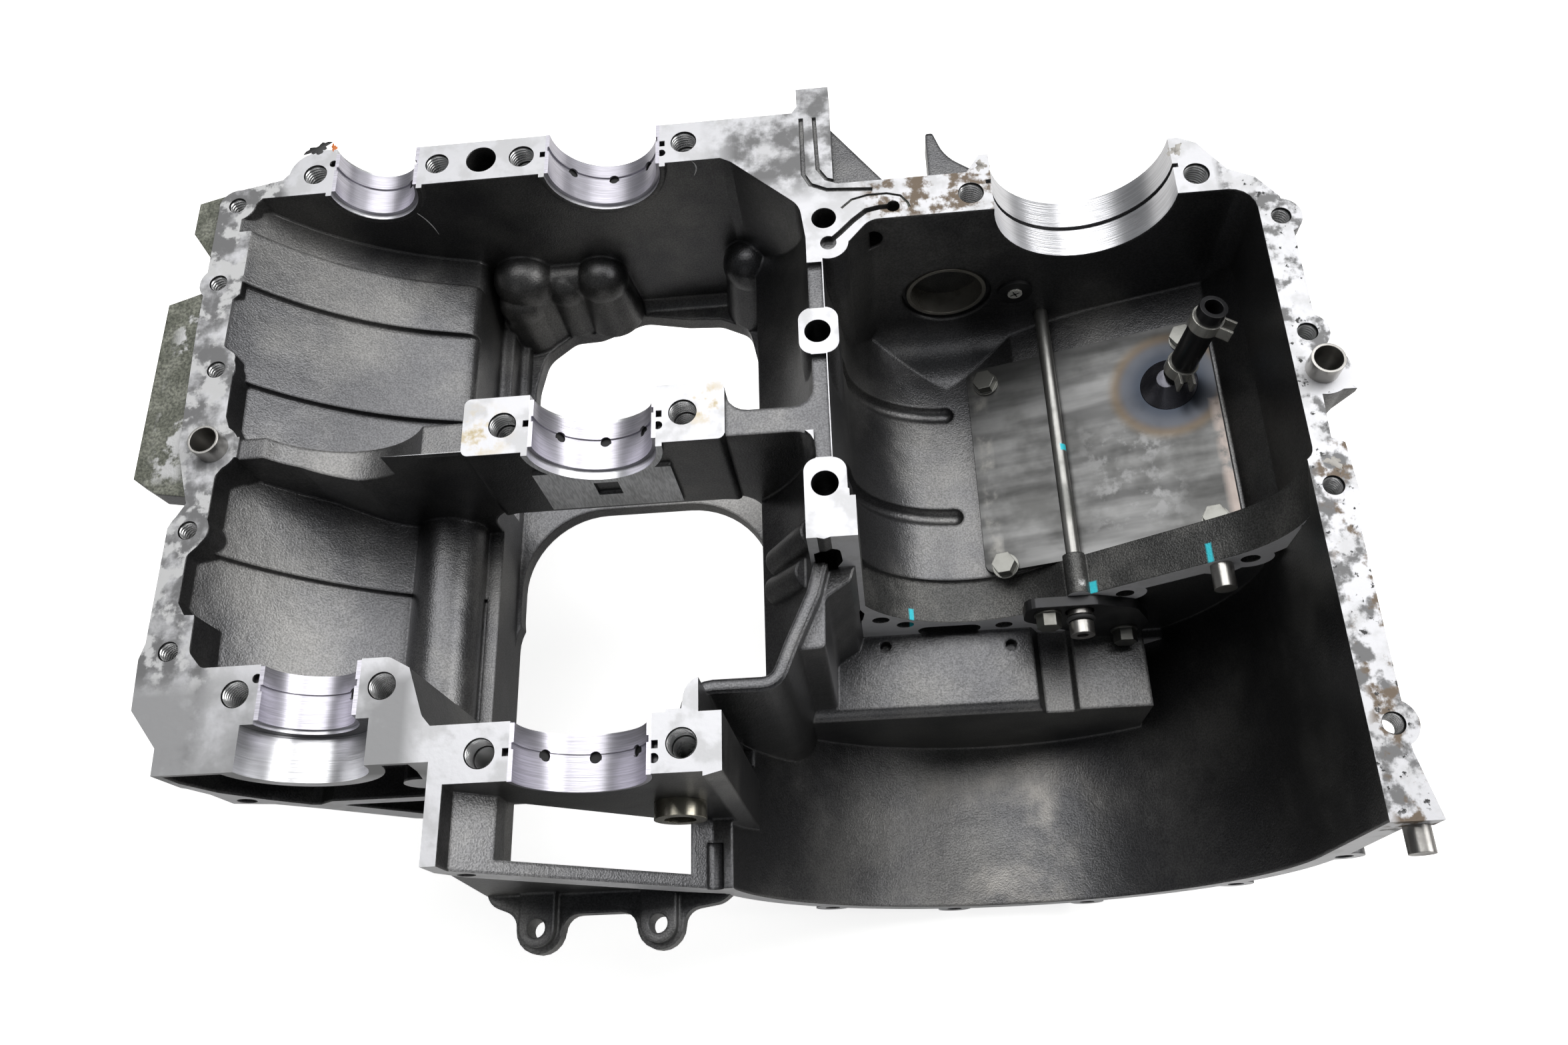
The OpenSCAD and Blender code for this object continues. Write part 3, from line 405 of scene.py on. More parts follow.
@dataclass(frozen=True)
class Mark:
    """A box-shaped patch of another colour on a surface, in millimetres.

    Attributes:
        colour: its colour.
        low: the box's least corner.
        high: its greatest corner.
        soft: width of its border.
        patch: scale of the mottle that breaks it up, per metre, or 0 for a whole patch.
        levels: noise levels where the broken patch begins and is full.
        seed: which part of the mottle it shows.
        matt: whether it covers the metal.
    """

    colour: Colour
    low: Triple
    high: Triple
    soft: float = 1.0
    patch: float = 0.0
    levels: tuple[float, float] = (0.45, 0.6)
    seed: float = 0.0
    matt: bool = True

    def shape(self, graph: Graph, shop: Finishes) -> Socket:
        """Returns the mask of the whole patch."""
        low, high = ([value * MM for value in corner] for corner in (self.low, self.high))
        return shop.use(graph, "region", Low=low, High=high, Soft=self.soft * MM).outputs["Mask"]

    def mask(self, graph: Graph, shop: Finishes) -> Socket:
        """Returns the mask of the patch, broken up by the mottle.

        Args:
            graph: the material's graph.
            shop: the shared shader groups.

        Returns:
            The mask's socket.
        """
        whole = self.shape(graph, shop)
        if not self.patch:
            return whole
        low, high = self.levels
        cloud = shop.use(graph, "mottle", Scale=self.patch, Low=low, High=high, Seed=self.seed)
        return graph.math("MULTIPLY", whole, cloud.outputs["Mask"])


@dataclass(frozen=True)
class RoundMark(Mark):
    """A round patch about the point low, full within high[0] and gone at high[1]."""

    def shape(self, graph: Graph, shop: Finishes) -> Socket:
        """Makes the mask of the whole patch.

        Args:
            graph: the material's graph.
            shop: the shared shader groups.

        Returns:
            The mask's socket.
        """
        centre = [value * MM for value in self.low]
        inner, outer = self.high[0] * MM, self.high[1] * MM
        return shop.use(graph, "spot", Centre=centre, Inner=inner, Outer=outer).outputs["Mask"]


@dataclass(frozen=True)
class Finish:
    """A finish with one colour pair, a mottle between them, and grain or cutter marks.

    Attributes:
        name: the material's name.
        colour: the base colour.
        worn: the colour of the mottled patches.
        metallic: how metallic it is.
        roughness: roughness of the clean surface.
        worn_roughness: roughness of the patches.
        patch: scale of the patches, per metre.
        low: noise level where the patches begin.
        high: noise level where they are full.
        grain: depth of the fine grain or of the cutter marks.
        grain_scale: scale of the fine grain, per metre.
        edge: radius that edges seem rounded by, in metres.
        sand: how much lighter and darker the grain makes the colour.
        root_shade: painted shade in the threads' roots: how much darker the colour is where the mesh's own
            "crest" value is 0 than where it is 1.
        across: how the cutter marks are stretched, per metre along each axis, or None for grain.
        marks: patches of paint, dirt or heat tint on it.
    """

    name: str
    colour: Colour
    worn: Colour
    metallic: float = 0.9
    roughness: float = 0.35
    worn_roughness: float = 0.5
    patch: float = 40.0
    low: float = 0.45
    high: float = 0.65
    grain: float = 0.05
    grain_scale: float = 1200.0
    edge: float = 0.0004
    sand: float = 0.0
    root_shade: float = 0.0
    across: Triple | None = None
    marks: tuple[Mark, ...] = ()

    def texture(self, graph: Graph, shop: Finishes) -> tuple[Socket, Socket]:
        """Places the grain or the cutter marks.

        Args:
            graph: the material's graph.
            shop: the shared shader groups.

        Returns:
            The normal's socket, and that of the light and dark.
        """
        if self.across:
            node = shop.use(graph, "cutter_marks", Across=self.across, Depth=self.grain)
            return node.outputs["Normal"], node.outputs["Line"]
        node = shop.use(graph, "cast_grain", Grain=self.grain_scale, Depth=self.grain, Edge=self.edge)
        return node.outputs["Normal"], node.outputs["Speckle"]

    def build(self, shop: Finishes) -> bpy.types.Material:
        """Makes the material.

        Args:
            shop: the shared shader groups.

        Returns:
            The new material.
        """
        material = bpy.data.materials.new(self.name)
        material.use_nodes = True
        graph = Graph(material.node_tree)
        patches = shop.use(graph, "mottle", Scale=self.patch, Low=self.low, High=self.high).outputs["Mask"]
        normal, light = self.texture(graph, shop)
        colour = graph.mix(patches, self.colour, self.worn)
        if self.sand:
            tone = graph.band(light, *GRAIN_BAND, 1 - self.sand, 1 + self.sand)
            colour = graph.scale(colour, tone)
        # painted shade: the threads' colour darkens towards their roots, where the crest value falls to 0
        if self.root_shade:
            crest = graph.add("ShaderNodeAttribute", attribute_name="crest").outputs["Fac"]
            tone = graph.band(crest, *ROOT_SHADE_BAND, 1 - self.root_shade, 1.0)
            colour = graph.scale(colour, tone)
        surface = graph.add("ShaderNodeBsdfPrincipled", {"Metallic": self.metallic, "Normal": normal})
        roughness = graph.band(patches, 0, 1, self.roughness, self.worn_roughness)
        cover = None
        for mark in self.marks:
            mask = mark.mask(graph, shop)
            colour = graph.mix(mask, colour, mark.colour)
            if mark.matt:
                cover = mask if cover is None else graph.math("MAXIMUM", cover, mask)
        if cover is not None:
            metallic = graph.band(cover, 0, 1, self.metallic, MATT_METALLIC)
            graph.tree.links.new(metallic, surface.inputs["Metallic"])
            dull = graph.math("MULTIPLY", cover, MATT_ROUGHNESS)
            roughness = graph.math("MAXIMUM", roughness, dull)
        graph.tree.links.new(colour, surface.inputs["Base Color"])
        graph.tree.links.new(roughness, surface.inputs["Roughness"])
        graph.add("ShaderNodeOutputMaterial", {"Surface": surface.outputs[0]})
        return material


@dataclass
class Casting:
    """The crankcase half itself: sorts its faces into cast and machined ones and dresses them.

    Attributes:
        node: name of the CAD node.
        joint_z: height of the joint face, in metres.
        deck_z: height of the deck's underside.
        wing_z: height of the wings' tops.
        cover_faces: places along Y of the machined faces that look towards -Y.
        sawn_face: the box round the machined face under the middle bearing.
        arch: the box round the bulkhead's arched band.
        bores: (x, z, radius, least distance from the part's middle) of the bores along Y.
    """

    node: str = "case_casting"
    joint_z: float = 0.0
    deck_z: float = -0.1
    wing_z: float = -0.001
    cover_faces: tuple = (-0.150, -0.118, -0.0505)
    sawn_face: tuple = ((-0.0255, -0.0128, -0.046), (0.0255, -0.0126, 0.0))
    arch: tuple = ((0.082, -0.0504, -0.105), (0.237, -0.0346, -0.004))
    bores: tuple = (
        (0.0, 0.0, 0.0225, 0.0),
        (-0.0902, 0.0, 0.017, 0.08),
        (-0.0902, 0.0, 0.0214, 0.08),
        (0.1794, 0.0, 0.0328, 0.07),
        (0.1794, 0.0, 0.0348, 0.07),
    )

    def face_kinds(self, mesh: bpy.types.Mesh) -> np.ndarray:
        """Sorts the faces by plane and by distance from the bores' axes.

        A face is a joint face if it lies in the joint plane, the deck's plane or a cover's plane
        and looks out of it, and a wing face if it lies in the wings' top plane. It is a bore face
        if its middle lies at a bore's radius from the axis and its normal points to that axis.
        It is on the arched band if it lies within the band's box and looks up or sideways, and on
        the sawn face if it lies within that face's box.

        Args:
            mesh: the casting's mesh.

        Returns:
            The number of the face kind for each polygon.
        """
        count = len(mesh.polygons)
        centre, normal = np.empty(count * 3), np.empty(count * 3)
        mesh.polygons.foreach_get("center", centre)
        mesh.polygons.foreach_get("normal", normal)
        centre, normal = centre.reshape(-1, 3), normal.reshape(-1, 3)
        kinds = np.full(count, Face.CAST.value, np.int32)
        level = np.abs(normal[:, 2]) < LEVEL
        kinds[level & self.beside_hole(centre, normal)] = Face.HOLE.value
        up = (np.abs(centre[:, 2] - self.joint_z) < PLANE_GAP) & (normal[:, 2] > SQUARE)
        down = (np.abs(centre[:, 2] - self.deck_z) < PLANE_GAP) & (normal[:, 2] < -SQUARE)
        kinds[up | down] = Face.JOINT.value
        for y in self.cover_faces:
            in_plane = np.abs(centre[:, 1] - y) < PLANE_GAP
            kinds[in_plane & (normal[:, 1] < -SQUARE)] = Face.JOINT.value
        for x, z, radius, beyond in self.bores:
            inward = ((x - centre[:, 0]) * normal[:, 0] + (z - centre[:, 2]) * normal[:, 2]) / radius
            gap = np.abs(np.hypot(centre[:, 0] - x, centre[:, 2] - z) - radius)
            seat = (np.abs(centre[:, 1]) >= beyond) & (np.abs(normal[:, 1]) < LEVEL)
            kinds[seat & (gap < BORE_GAP) & (inward > BORE_INWARD)] = Face.BORE.value
        wing_top = np.abs(centre[:, 2] - self.wing_z) < PLANE_GAP
        kinds[wing_top & (normal[:, 2] > SQUARE)] = Face.WING.value
        kinds[self.within(centre, self.sawn_face) & (normal[:, 1] < -SQUARE)] = Face.SAWN.value
        band = (np.abs(normal[:, 1]) < ARCH_SIDEWAYS) & (normal[:, 2] > ARCH_DOWN)
        kinds[self.within(centre, self.arch) & band] = Face.ARCH.value
        return kinds

    @staticmethod
    def within(centre: np.ndarray, box: tuple) -> np.ndarray:
        """Tells which centres lie within a box given by two corners."""
        return np.all((centre > np.array(box[0])) & (centre < np.array(box[1])), axis=1)

    @staticmethod
    def beside_hole(centre: np.ndarray, normal: np.ndarray) -> np.ndarray:
        """Tells which faces stand on the wall of an upright threaded hole and face its axis.

        Args:
            centre: centres of the faces.
            normal: their normals.

        Returns:
            True for each face that lies on a hole's wall.
        """
        found = np.zeros(len(centre), bool)
        for x, y, radius, _, _, _ in thread_list():
            offset = np.stack([x * MM - centre[:, 0], y * MM - centre[:, 1]], -1)
            gap = np.hypot(offset[:, 0], offset[:, 1])
            inward = (offset * normal[:, :2]).sum(1) > HOLE_INWARD * gap
            found |= (gap < radius * MM + HOLE_GAP) & inward & (centre[:, 2] > HOLE_DEPTH)
        return found

    def dress(self, nodes: dict, shop: Finishes, finishes: dict[Face, Finish]) -> None:
        """Puts the materials on the casting, one slot for each kind of face.

        Args:
            nodes: the CAD nodes by name.
            shop: the shared shader groups.
            finishes: the finish of each kind of face.
        """
        piece = nodes[self.node]
        piece.data.materials.clear()
        for kind in Face:
            piece.data.materials.append(shop.material(finishes[kind]))
        kinds = self.face_kinds(piece.data)
        piece.data.polygons.foreach_set("material_index", kinds)
        piece.data.update()
        for kind in Face:
            LOG.info("casting: %d %s faces", int((kinds == kind.value).sum()), kind.name.lower())


def grid_faces(rows: int, columns: int, start: int) -> np.ndarray:
    """Lists the faces of a grid of corners.

    Args:
        rows: rows of corners.
        columns: faces along a row, which has one more corner.
        start: number of the grid's first corner.

    Returns:
        The corner numbers, one row for each face.
    """
    row, column = np.meshgrid(np.arange(rows - 1), np.arange(columns), indexing="ij")
    first = (start + row * (columns + 1) + column).ravel()
    return np.stack([first, first + 1, first + columns + 2, first + columns + 1], -1)


@dataclass
class BoltThreads:
    """Internal threads of the upright bolt holes, as helical surfaces just inside the walls.

    Attributes:
        holes: (x, y, radius, pitch, top, length) of each hole, in millimetres.
        depth: how far the thread's crest stands into the hole, in pitches.
        lift: how far its root stands off the wall, in millimetres.
        around: faces round a turn.
        per_pitch: faces up a pitch.
    """

    holes: list[tuple]
    depth: float = 0.5
    lift: float = 0.03
    around: int = 48
    per_pitch: int = 6

    def mesh(self) -> tuple[np.ndarray, np.ndarray, np.ndarray]:
        """Works the threads out.

        At angle a and height z the surface is nearer the axis than the wall by the lift, plus
        depth times pitch times a triangle wave of z / pitch - a / full turn, so the crest climbs
        one pitch a turn.

        Returns:
            The corners in metres, the faces, and how far each corner stands up the thread, 0 to 1.
        """
        points, faces, crests, start = [], [], [], 0
        for x, y, radius, pitch, top, length in self.holes:
            rows = int(length / pitch * self.per_pitch) + 1
            angle, height = np.meshgrid(
                np.linspace(0, 2 * math.pi, self.around + 1), np.linspace(top, top - length, rows)
            )
            phase = (height / pitch - angle / (2 * math.pi)) % 1.0
            wave = 1 - np.abs(2 * phase - 1)
            reach = radius - self.lift - self.depth * pitch * wave
            ring = np.stack([x + reach * np.cos(angle), y + reach * np.sin(angle), height], -1)
            points.append(ring.reshape(-1, 3))
            crests.append(wave.ravel())
            faces.append(grid_faces(rows, self.around, start))
            start += rows * (self.around + 1)
        return np.concatenate(points) * MM, np.concatenate(faces), np.concatenate(crests)

    def build(self, material: bpy.types.Material) -> bpy.types.Object:
        """Makes the piece and lets it ride with the casting.

        Args:
            material: finish of the threads.

        Returns:
            The new object.
        """
        points, faces, crests = self.mesh()
        piece = new_piece("bolt_threads", points, faces, material)
        piece.data.attributes.new("crest", "FLOAT", "POINT").data.foreach_set("value", crests)
        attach(piece, "root")
        return piece


def new_piece(
    name: str, points: np.ndarray, faces: np.ndarray, material: bpy.types.Material
) -> bpy.types.Object:
    """Makes a smooth mesh object at the origin from arrays.

    Args:
        name: the piece's name.
        points: corners in metres, one row each.
        faces: corner numbers, one row for each face.
        material: its finish.

    Returns:
        The new object, linked to the scene.
    """
    mesh = bpy.data.meshes.new(name)
    mesh.from_pydata(points.tolist(), [], faces.tolist())
    mesh.polygons.foreach_set("use_smooth", np.ones(len(mesh.polygons), bool))
    mesh.materials.append(material)
    mesh.update()
    piece = bpy.data.objects.new(name, mesh)
    bpy.context.scene.collection.objects.link(piece)
    LOG.info("%s: %d corners, %d faces", name, len(points), len(faces))
    return piece


@dataclass
class ChalkLines:
    """Chalk strokes left on a wall that looks towards -Y.

    Attributes:
        strokes: (x, z) of each stroke's start, bend and end, in millimetres.
        wall_y: place of the wall.
        width: width of a stroke.
        lift: how far it stands off the wall.
        taper: least share of the half width squared, at a stroke's ends.
        rows: points along a stroke.
    """

    strokes: tuple
    wall_y: float = 109.4
    width: float = 0.5
    lift: float = 0.06
    taper: float = 0.02
    rows: int = 25

    def build(self, material: bpy.types.Material) -> bpy.types.Object:
        """Makes the strokes as one piece.

        Each is a strip along the curve start (1 - t)^2 + 2 bend t (1 - t) + end t^2, t from 0 to
        1, and reaches half the width times sqrt(sin(pi t)) to either side.

        Args:
            material: finish of the chalk.

        Returns:
            The new object.
        """
        t = np.linspace(0.0, 1.0, self.rows)[:, None]
        points, faces = [], []
        for number, stroke in enumerate(self.strokes):
            start, bend, end = np.array(stroke, float)
            line = start * (1 - t) ** 2 + 2 * bend * t * (1 - t) + end * t**2
            along = 2 * (bend - start) * (1 - t) + 2 * (end - bend) * t
            side = np.stack([-along[:, 1], along[:, 0]], -1) / np.linalg.norm(along, axis=1)[:, None]
            half = self.width / 2 * np.sqrt(np.clip(np.sin(math.pi * t), self.taper, 1))
            flat = np.stack([line - side * half, line + side * half], 1).reshape(-1, 2)
            points.append(np.stack([flat[:, 0], np.full(len(flat), self.wall_y - self.lift), flat[:, 1]], -1))
            faces.append(grid_faces(self.rows, 1, 2 * self.rows * number))
        piece = new_piece("chalk_strokes", np.concatenate(points) * MM, np.concatenate(faces), material)
        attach(piece, "root")
        return piece


@dataclass
class SealantCrumbs:
    """Torn crumbs of old sealant on the joint's edge.

    Attributes:
        name: the piece's name.
        places: (x, y, z, reach, stretch, turn in degrees) of each crumb, in millimetres.
        height: height of a crumb of reach 1.
        lobes: (size, number of waves round) of the edge's lobes.
        unlike: by how much the lobes shift from one crumb to the next, in radians.
        rings: rings of faces from the middle out.
        around: faces round it.
    """

    name: str
    places: tuple
    height: float = 0.16
    lobes: tuple = ((0.28, 3), (0.17, 7), (0.1, 13))
    unlike: float = 1.7
    rings: int = 7
    around: int = 40

    def build(self, material: bpy.types.Material) -> bpy.types.Object:
        """Makes the crumbs as one piece.

        At an angle round its middle, a crumb reaches its reach times 1 plus, for each lobe from
        the first on, its size times the sine of its waves times the angle plus its number times
        the shift. Its height falls as 1 less the square of the way out, which runs from 0 to 1.

        Args:
            material: finish of the sealant.

        Returns:
            The new object.
        """
        turns = np.linspace(0, 2 * math.pi, self.around + 1)
        way, angle = np.meshgrid(np.linspace(0, 1, self.rings), turns, indexing="ij")
        points, faces = [], []
        for number, (x, y, z, reach, stretch, turn) in enumerate(self.places):
            shift = self.unlike * number
            edge = np.ones_like(angle)
            for step, (size, waves) in enumerate(self.lobes, start=1):
                edge += size * np.sin(waves * angle + step * shift)
            length = reach * edge * way * np.cos(angle) * stretch
            breadth = reach * edge * way * np.sin(angle)
            cosine, sine = math.cos(math.radians(turn)), math.sin(math.radians(turn))
            rise = self.height * reach * (1 - way**2)
            right = x + length * cosine - breadth * sine
            back = y + length * sine + breadth * cosine
            points.append(np.stack([right, back, z + rise], -1).reshape(-1, 3))
            faces.append(grid_faces(self.rings, self.around, number * self.rings * (self.around + 1)))
        piece = new_piece(self.name, np.concatenate(points) * MM, np.concatenate(faces), material)
        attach(piece, "root")
        return piece


@dataclass
class ScrewRecessShade:
    """The cross recess of the retainer's screw, as a dark cross of painted shade on its head.

    Attributes:
        node: the CAD node of the screw.
        share: reach of the cross, as a share of the head's width.
        narrow: how narrow its four arms are.
        middle: reach of its round middle, as a share of the arms'.
        turn: how far it is turned, in radians.
        lift: how far it stands off the head, in metres.
        around: points round its edge.
    """

    node: str = "retainer_screw"
    share: float = 0.36
    narrow: float = 5.0
    middle: float = 0.3
    turn: float = 0.5
    lift: float = 6e-5
    around: int = 120

    def build(self, material: bpy.types.Material) -> bpy.types.Object:
        """Makes the dark cross of painted recess shade just before the head's face.

        Its edge is at the reach times |cos| of twice the angle to the power narrow, or at the
        small round middle where that is farther out.

        Args:
            material: the dark finish that paints the recess's shade.

        Returns:
            The new object.
        """
        low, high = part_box(self.node)
        reach = (high[0] - low[0]) * self.share
        angle = np.linspace(0, 2 * math.pi, self.around + 1)[:-1]
        edge = reach * np.maximum(np.abs(np.cos(2 * angle)) ** self.narrow, self.middle)
        middle = np.array([[(low[0] + high[0]) / 2, low[1] - self.lift, (low[2] + high[2]) / 2]])
        angle = angle + self.turn
        rim = middle + np.stack([edge * np.cos(angle), np.zeros_like(angle), edge * np.sin(angle)], -1)
        first = np.arange(self.around) + 1
        faces = np.stack([np.zeros_like(first), first, np.roll(first, -1)], -1)
        piece = new_piece("screw_recess_shade", np.concatenate([middle, rim]), faces, material)
        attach(piece, "root")
        return piece


@dataclass
class FittedPieces:
    """The pieces fitted to the casting.

    Attributes:
        finishes: the slot and the finish of each CAD node.
    """

    finishes: dict[str, tuple[Slot, Finish]]

    def dress(self, nodes: dict, shop: Finishes) -> None:
        """Gives each fitted piece its finish.

        Args:
            nodes: the CAD nodes by name.
            shop: the shared shader groups.
        """
        for name, (slot, finish) in self.finishes.items():
            piece = nodes[name]
            piece.data.materials.clear()
            piece.data.materials.append(shop.material(finish))
            LOG.info("%s: %s", name, finish.name)


@dataclass(frozen=True)
class Lamp:
    """A soft rectangular lamp.

    Attributes:
        name: its name.
        place: where it hangs, in metres.
        size: its width and height in metres.
        power: its power in watts.
    """

    name: str
    place: Triple
    size: tuple[float, float]
    power: float


LAMP_AIM = (0.05, 0.0, -0.05)
LAMPS = (
    Lamp("overhead", place=(0.0, 0.5, 1.15), size=(1.5, 1.0), power=15.0),
    Lamp("right_box", place=(1.15, 0.25, 0.75), size=(1.1, 0.8), power=13.0),
    Lamp("front_strip", place=(-0.1, -1.3, 0.5), size=(1.8, 0.35), power=2.0),
)


@dataclass
class Studio:
    """Camera, lamps, floor and world.

    Attributes:
        place: the camera's place, in metres.
        right: the picture's right in the row frame.
        down: the picture's down.
        ahead: the direction the camera looks in.
        lens: focal length in millimetres.
        sensor: width of the sensor in millimetres.
        clip: nearest and farthest distance that is drawn, in metres.
        floor_size: the floor's side, in metres.
        floor_colour: its colour.
        floor_glow: how much it glows for the camera.
        sky_colour: colour of the light from all round.
        sky_strength: its strength.
    """

    place: Triple = (0.095976, -0.208788, 0.369331)
    right: Triple = (0.99506975, -0.03027618, -0.0944433)
    down: Triple = (-0.06588586, -0.91356636, -0.40131728)
    ahead: Triple = (-0.07412987, 0.40556116, -0.91105703)
    lens: float = 28.235
    sensor: float = 36.0
    clip: tuple[float, float] = (0.01, 20.0)
    floor_size: float = 6.0
    floor_colour: Colour = (0.82, 0.81, 0.79)
    floor_glow: float = 0.78
    sky_colour: Colour = (0.9, 0.95, 1.0)
    sky_strength: float = 0.08

    def camera(self) -> None:
        """Sets the camera at the photograph's angle."""
        data = bpy.data.cameras.new("camera")
        data.sensor_width, data.lens = self.sensor, self.lens
        data.clip_start, data.clip_end = self.clip
        camera = bpy.data.objects.new("camera", data)
        bpy.context.scene.collection.objects.link(camera)
        turn = Matrix((Vector(self.right), -Vector(self.down), -Vector(self.ahead))).transposed()
        camera.matrix_world = Matrix.Translation(Vector(self.place)) @ turn.to_4x4()
        bpy.context.scene.camera = camera

    def floor(self, height: float) -> None:
        """Lays the pale floor.

        Args:
            height: its height in the row frame, in metres.
        """
        half = self.floor_size / 2
        points = np.array([(x * half, y * half, height) for x, y in ((-1, -1), (1, -1), (1, 1), (-1, 1))])
        material = bpy.data.materials.new("pale_floor")
        material.use_nodes = True
        graph = Graph(material.node_tree)
        matt = graph.add("ShaderNodeBsdfDiffuse", {"Color": (*self.floor_colour, 1.0)})
        glow = graph.add("ShaderNodeEmission", {"Color": (1, 1, 1, 1), "Strength": self.floor_glow})
        both = graph.add("ShaderNodeAddShader", {0: matt.outputs[0], 1: glow.outputs[0]})
        path = graph.add("ShaderNodeLightPath")
        pick = graph.add(
            "ShaderNodeMixShader", {0: path.outputs["Is Camera Ray"], 1: matt.outputs[0], 2: both.outputs[0]}
        )
        graph.add("ShaderNodeOutputMaterial", {"Surface": pick.outputs[0]})
        floor = new_piece("floor", points, np.array([(0, 1, 2, 3)]), material)
        floor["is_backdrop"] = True

    def hang(self, plan: Lamp) -> None:
        """Adds a lamp that faces the aim.

        Args:
            plan: the lamp's name, place, size and power.
        """
        data = bpy.data.lights.new(plan.name, "AREA")
        data.shape, data.energy = "RECTANGLE", plan.power
        data.size, data.size_y = plan.size
        lamp = bpy.data.objects.new(plan.name, data)
        lamp.location = plan.place
        lamp.rotation_mode = "QUATERNION"
        lamp.rotation_quaternion = (Vector(LAMP_AIM) - Vector(plan.place)).to_track_quat("-Z", "Y")
        bpy.context.scene.collection.objects.link(lamp)
        lamp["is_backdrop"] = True

    def world(self) -> None:
        """Makes the world: dim for the object, white for the camera."""
        world = bpy.data.worlds.new("studio")
        world.use_nodes = True
        bpy.context.scene.world = world
        graph = Graph(world.node_tree)
        sky = {"Color": (*self.sky_colour, 1.0), "Strength": self.sky_strength}
        dim = graph.add("ShaderNodeBackground", sky)
        white = graph.add("ShaderNodeBackground", {"Color": (1, 1, 1, 1), "Strength": 1.0})
        path = graph.add("ShaderNodeLightPath")
        pick = graph.add(
            "ShaderNodeMixShader", {0: path.outputs["Is Camera Ray"], 1: dim.outputs[0], 2: white.outputs[0]}
        )
        graph.add("ShaderNodeOutputWorld", {"Surface": pick.outputs[0]})

    def build(self, floor_height: float) -> None:
        """Builds the whole studio.

        Args:
            floor_height: the floor's height, in metres.
        """
        self.camera()
        self.floor(floor_height)
        for plan in LAMPS:
            self.hang(plan)
        self.world()
        bpy.context.scene.view_settings.view_transform = "Standard"


# Places and sizes on the joint face, in millimetres of the shared frame.
MAIN_BOLT_X = 31.9
MAIN_BOLT_Y = (0.0, 118.8, -116.2)
BALANCER_X = -90.2
BALANCER_BOLT_X = 24.6
BALANCER_BOLT_Y = (118.9, -92.4)
OUTPUT_X = 179.4
OUTPUT_BOLT_X = 40.6
OUTPUT_BOLT_Y = 83.0
THROUGH, BLIND = 7.8, 18.0
PERIMETER_BOLTS = (
    (-144.8, 107, THROUGH),
    (-146.8, 70.7, THROUGH),
    (-141.4, 32.1, THROUGH),
    (-141.2, -32.4, THROUGH),
    (-140.3, -76.4, THROUGH),
    (245.9, 61.6, BLIND),
    (245.5, 13.4, BLIND),
    (242.3, -44, BLIND),
    (243.5, -121.6, THROUGH),
)
MAIN_OIL_Y = (121.2, 1.7, -114.3)
MAIN_OIL_TURNS = (-45, 0, 45)
MAIN_SEAT_RADIUS = 22.5
BALANCER_OIL_Y = (120.5, -90.8)
BALANCER_OIL_TURN = -38
BALANCER_SEAT_RADIUS = 17.0
OIL_HOLE_REACH = (2.05, 2.3, 0)

# Threads: pitch, depth of the first turn, hole radii and threaded lengths in millimetres.
PITCH = 1.25
THREAD_TOP = -0.8
COUNTERBORE_RADIUS, COUNTERBORE_LENGTH = 5.0, 7.0
MAIN_RADIUS, MAIN_TOP, MAIN_LENGTH = 4.3, -8.2, 21.0
CAP_RADIUS, CAP_LENGTH = 4.7, 26.0
PERIMETER_RADIUS = 3.5

# Colours that several finishes share, as linear red, green and blue.
POWDER = (0.58, 0.58, 0.58)
GREY_FILM = (0.17, 0.17, 0.172)
BROWN_FILM = (0.155, 0.115, 0.08)
CYAN_PAINT = (0.05, 0.72, 0.84)
WHITE_PAINT = (0.80, 0.80, 0.80)
YELLOW_STAIN = (0.60, 0.50, 0.31)
# near black: painted shade of the oil holes' depths
OIL_HOLE_SHADE = (0.012, 0.012, 0.012)


def oil_hole_shade_marks() -> tuple[RoundMark, ...]:
    """Makes the painted shade of the bearing shells' oil holes, a near-black spot for each hole's depth.

    Returns:
        A mark where each hole meets its saddle.
    """
    places = [(0.0, y, MAIN_SEAT_RADIUS, turn) for y in MAIN_OIL_Y for turn in MAIN_OIL_TURNS]
    places += [(BALANCER_X, y, BALANCER_SEAT_RADIUS, BALANCER_OIL_TURN) for y in BALANCER_OIL_Y]
    marks = []
    for x, y, radius, turn in places:
        angle = math.radians(turn)
        centre = (x - radius * math.sin(angle), y, -radius * math.cos(angle))
        marks.append(RoundMark(OIL_HOLE_SHADE, centre, OIL_HOLE_REACH))
    return tuple(marks)


CAST = Finish(
    "dark_casting", (0.110, 0.110, 0.114), (0.205, 0.202, 0.196), metallic=0.93, roughness=0.34,
    worn_roughness=0.42, patch=16.0, low=0.42, high=0.68, grain=0.30, grain_scale=1500.0, edge=0.0016,
    sand=0.22,
    marks=(
        # painted light: a lit, cloudy sheen patch on the clutch housing's floor
        RoundMark(
            (0.34, 0.325, 0.30), (142, -125, -150), (8, 62, 0), patch=26.0, levels=(0.44, 0.66), seed=2.0,
            matt=False,
        ),
    ),
)
ARCH = Finish(
    "sandy_arch", (0.075, 0.075, 0.073), (0.13, 0.128, 0.122), metallic=0.7, roughness=0.42, patch=60.0,
    low=0.4, grain=0.5, grain_scale=1600.0, edge=0.0008, sand=0.35,
    marks=(
        # dabs of paint and a white smudge
        Mark(CYAN_PAINT, (106.4, -52, -120), (108.7, -45.6, 0), soft=0.6),
        Mark(CYAN_PAINT, (173.8, -52, -120), (176.8, -45.6, 0), soft=0.6),
        Mark(CYAN_PAINT, (211.5, -52, -120), (213.8, -43, 0), soft=0.6),
        Mark(
            WHITE_PAINT, (169.4, -48.6, -120), (172.6, -45.4, 0), soft=1.2, patch=420.0,
            levels=(0.44, 0.56),
        ),
    ),
)
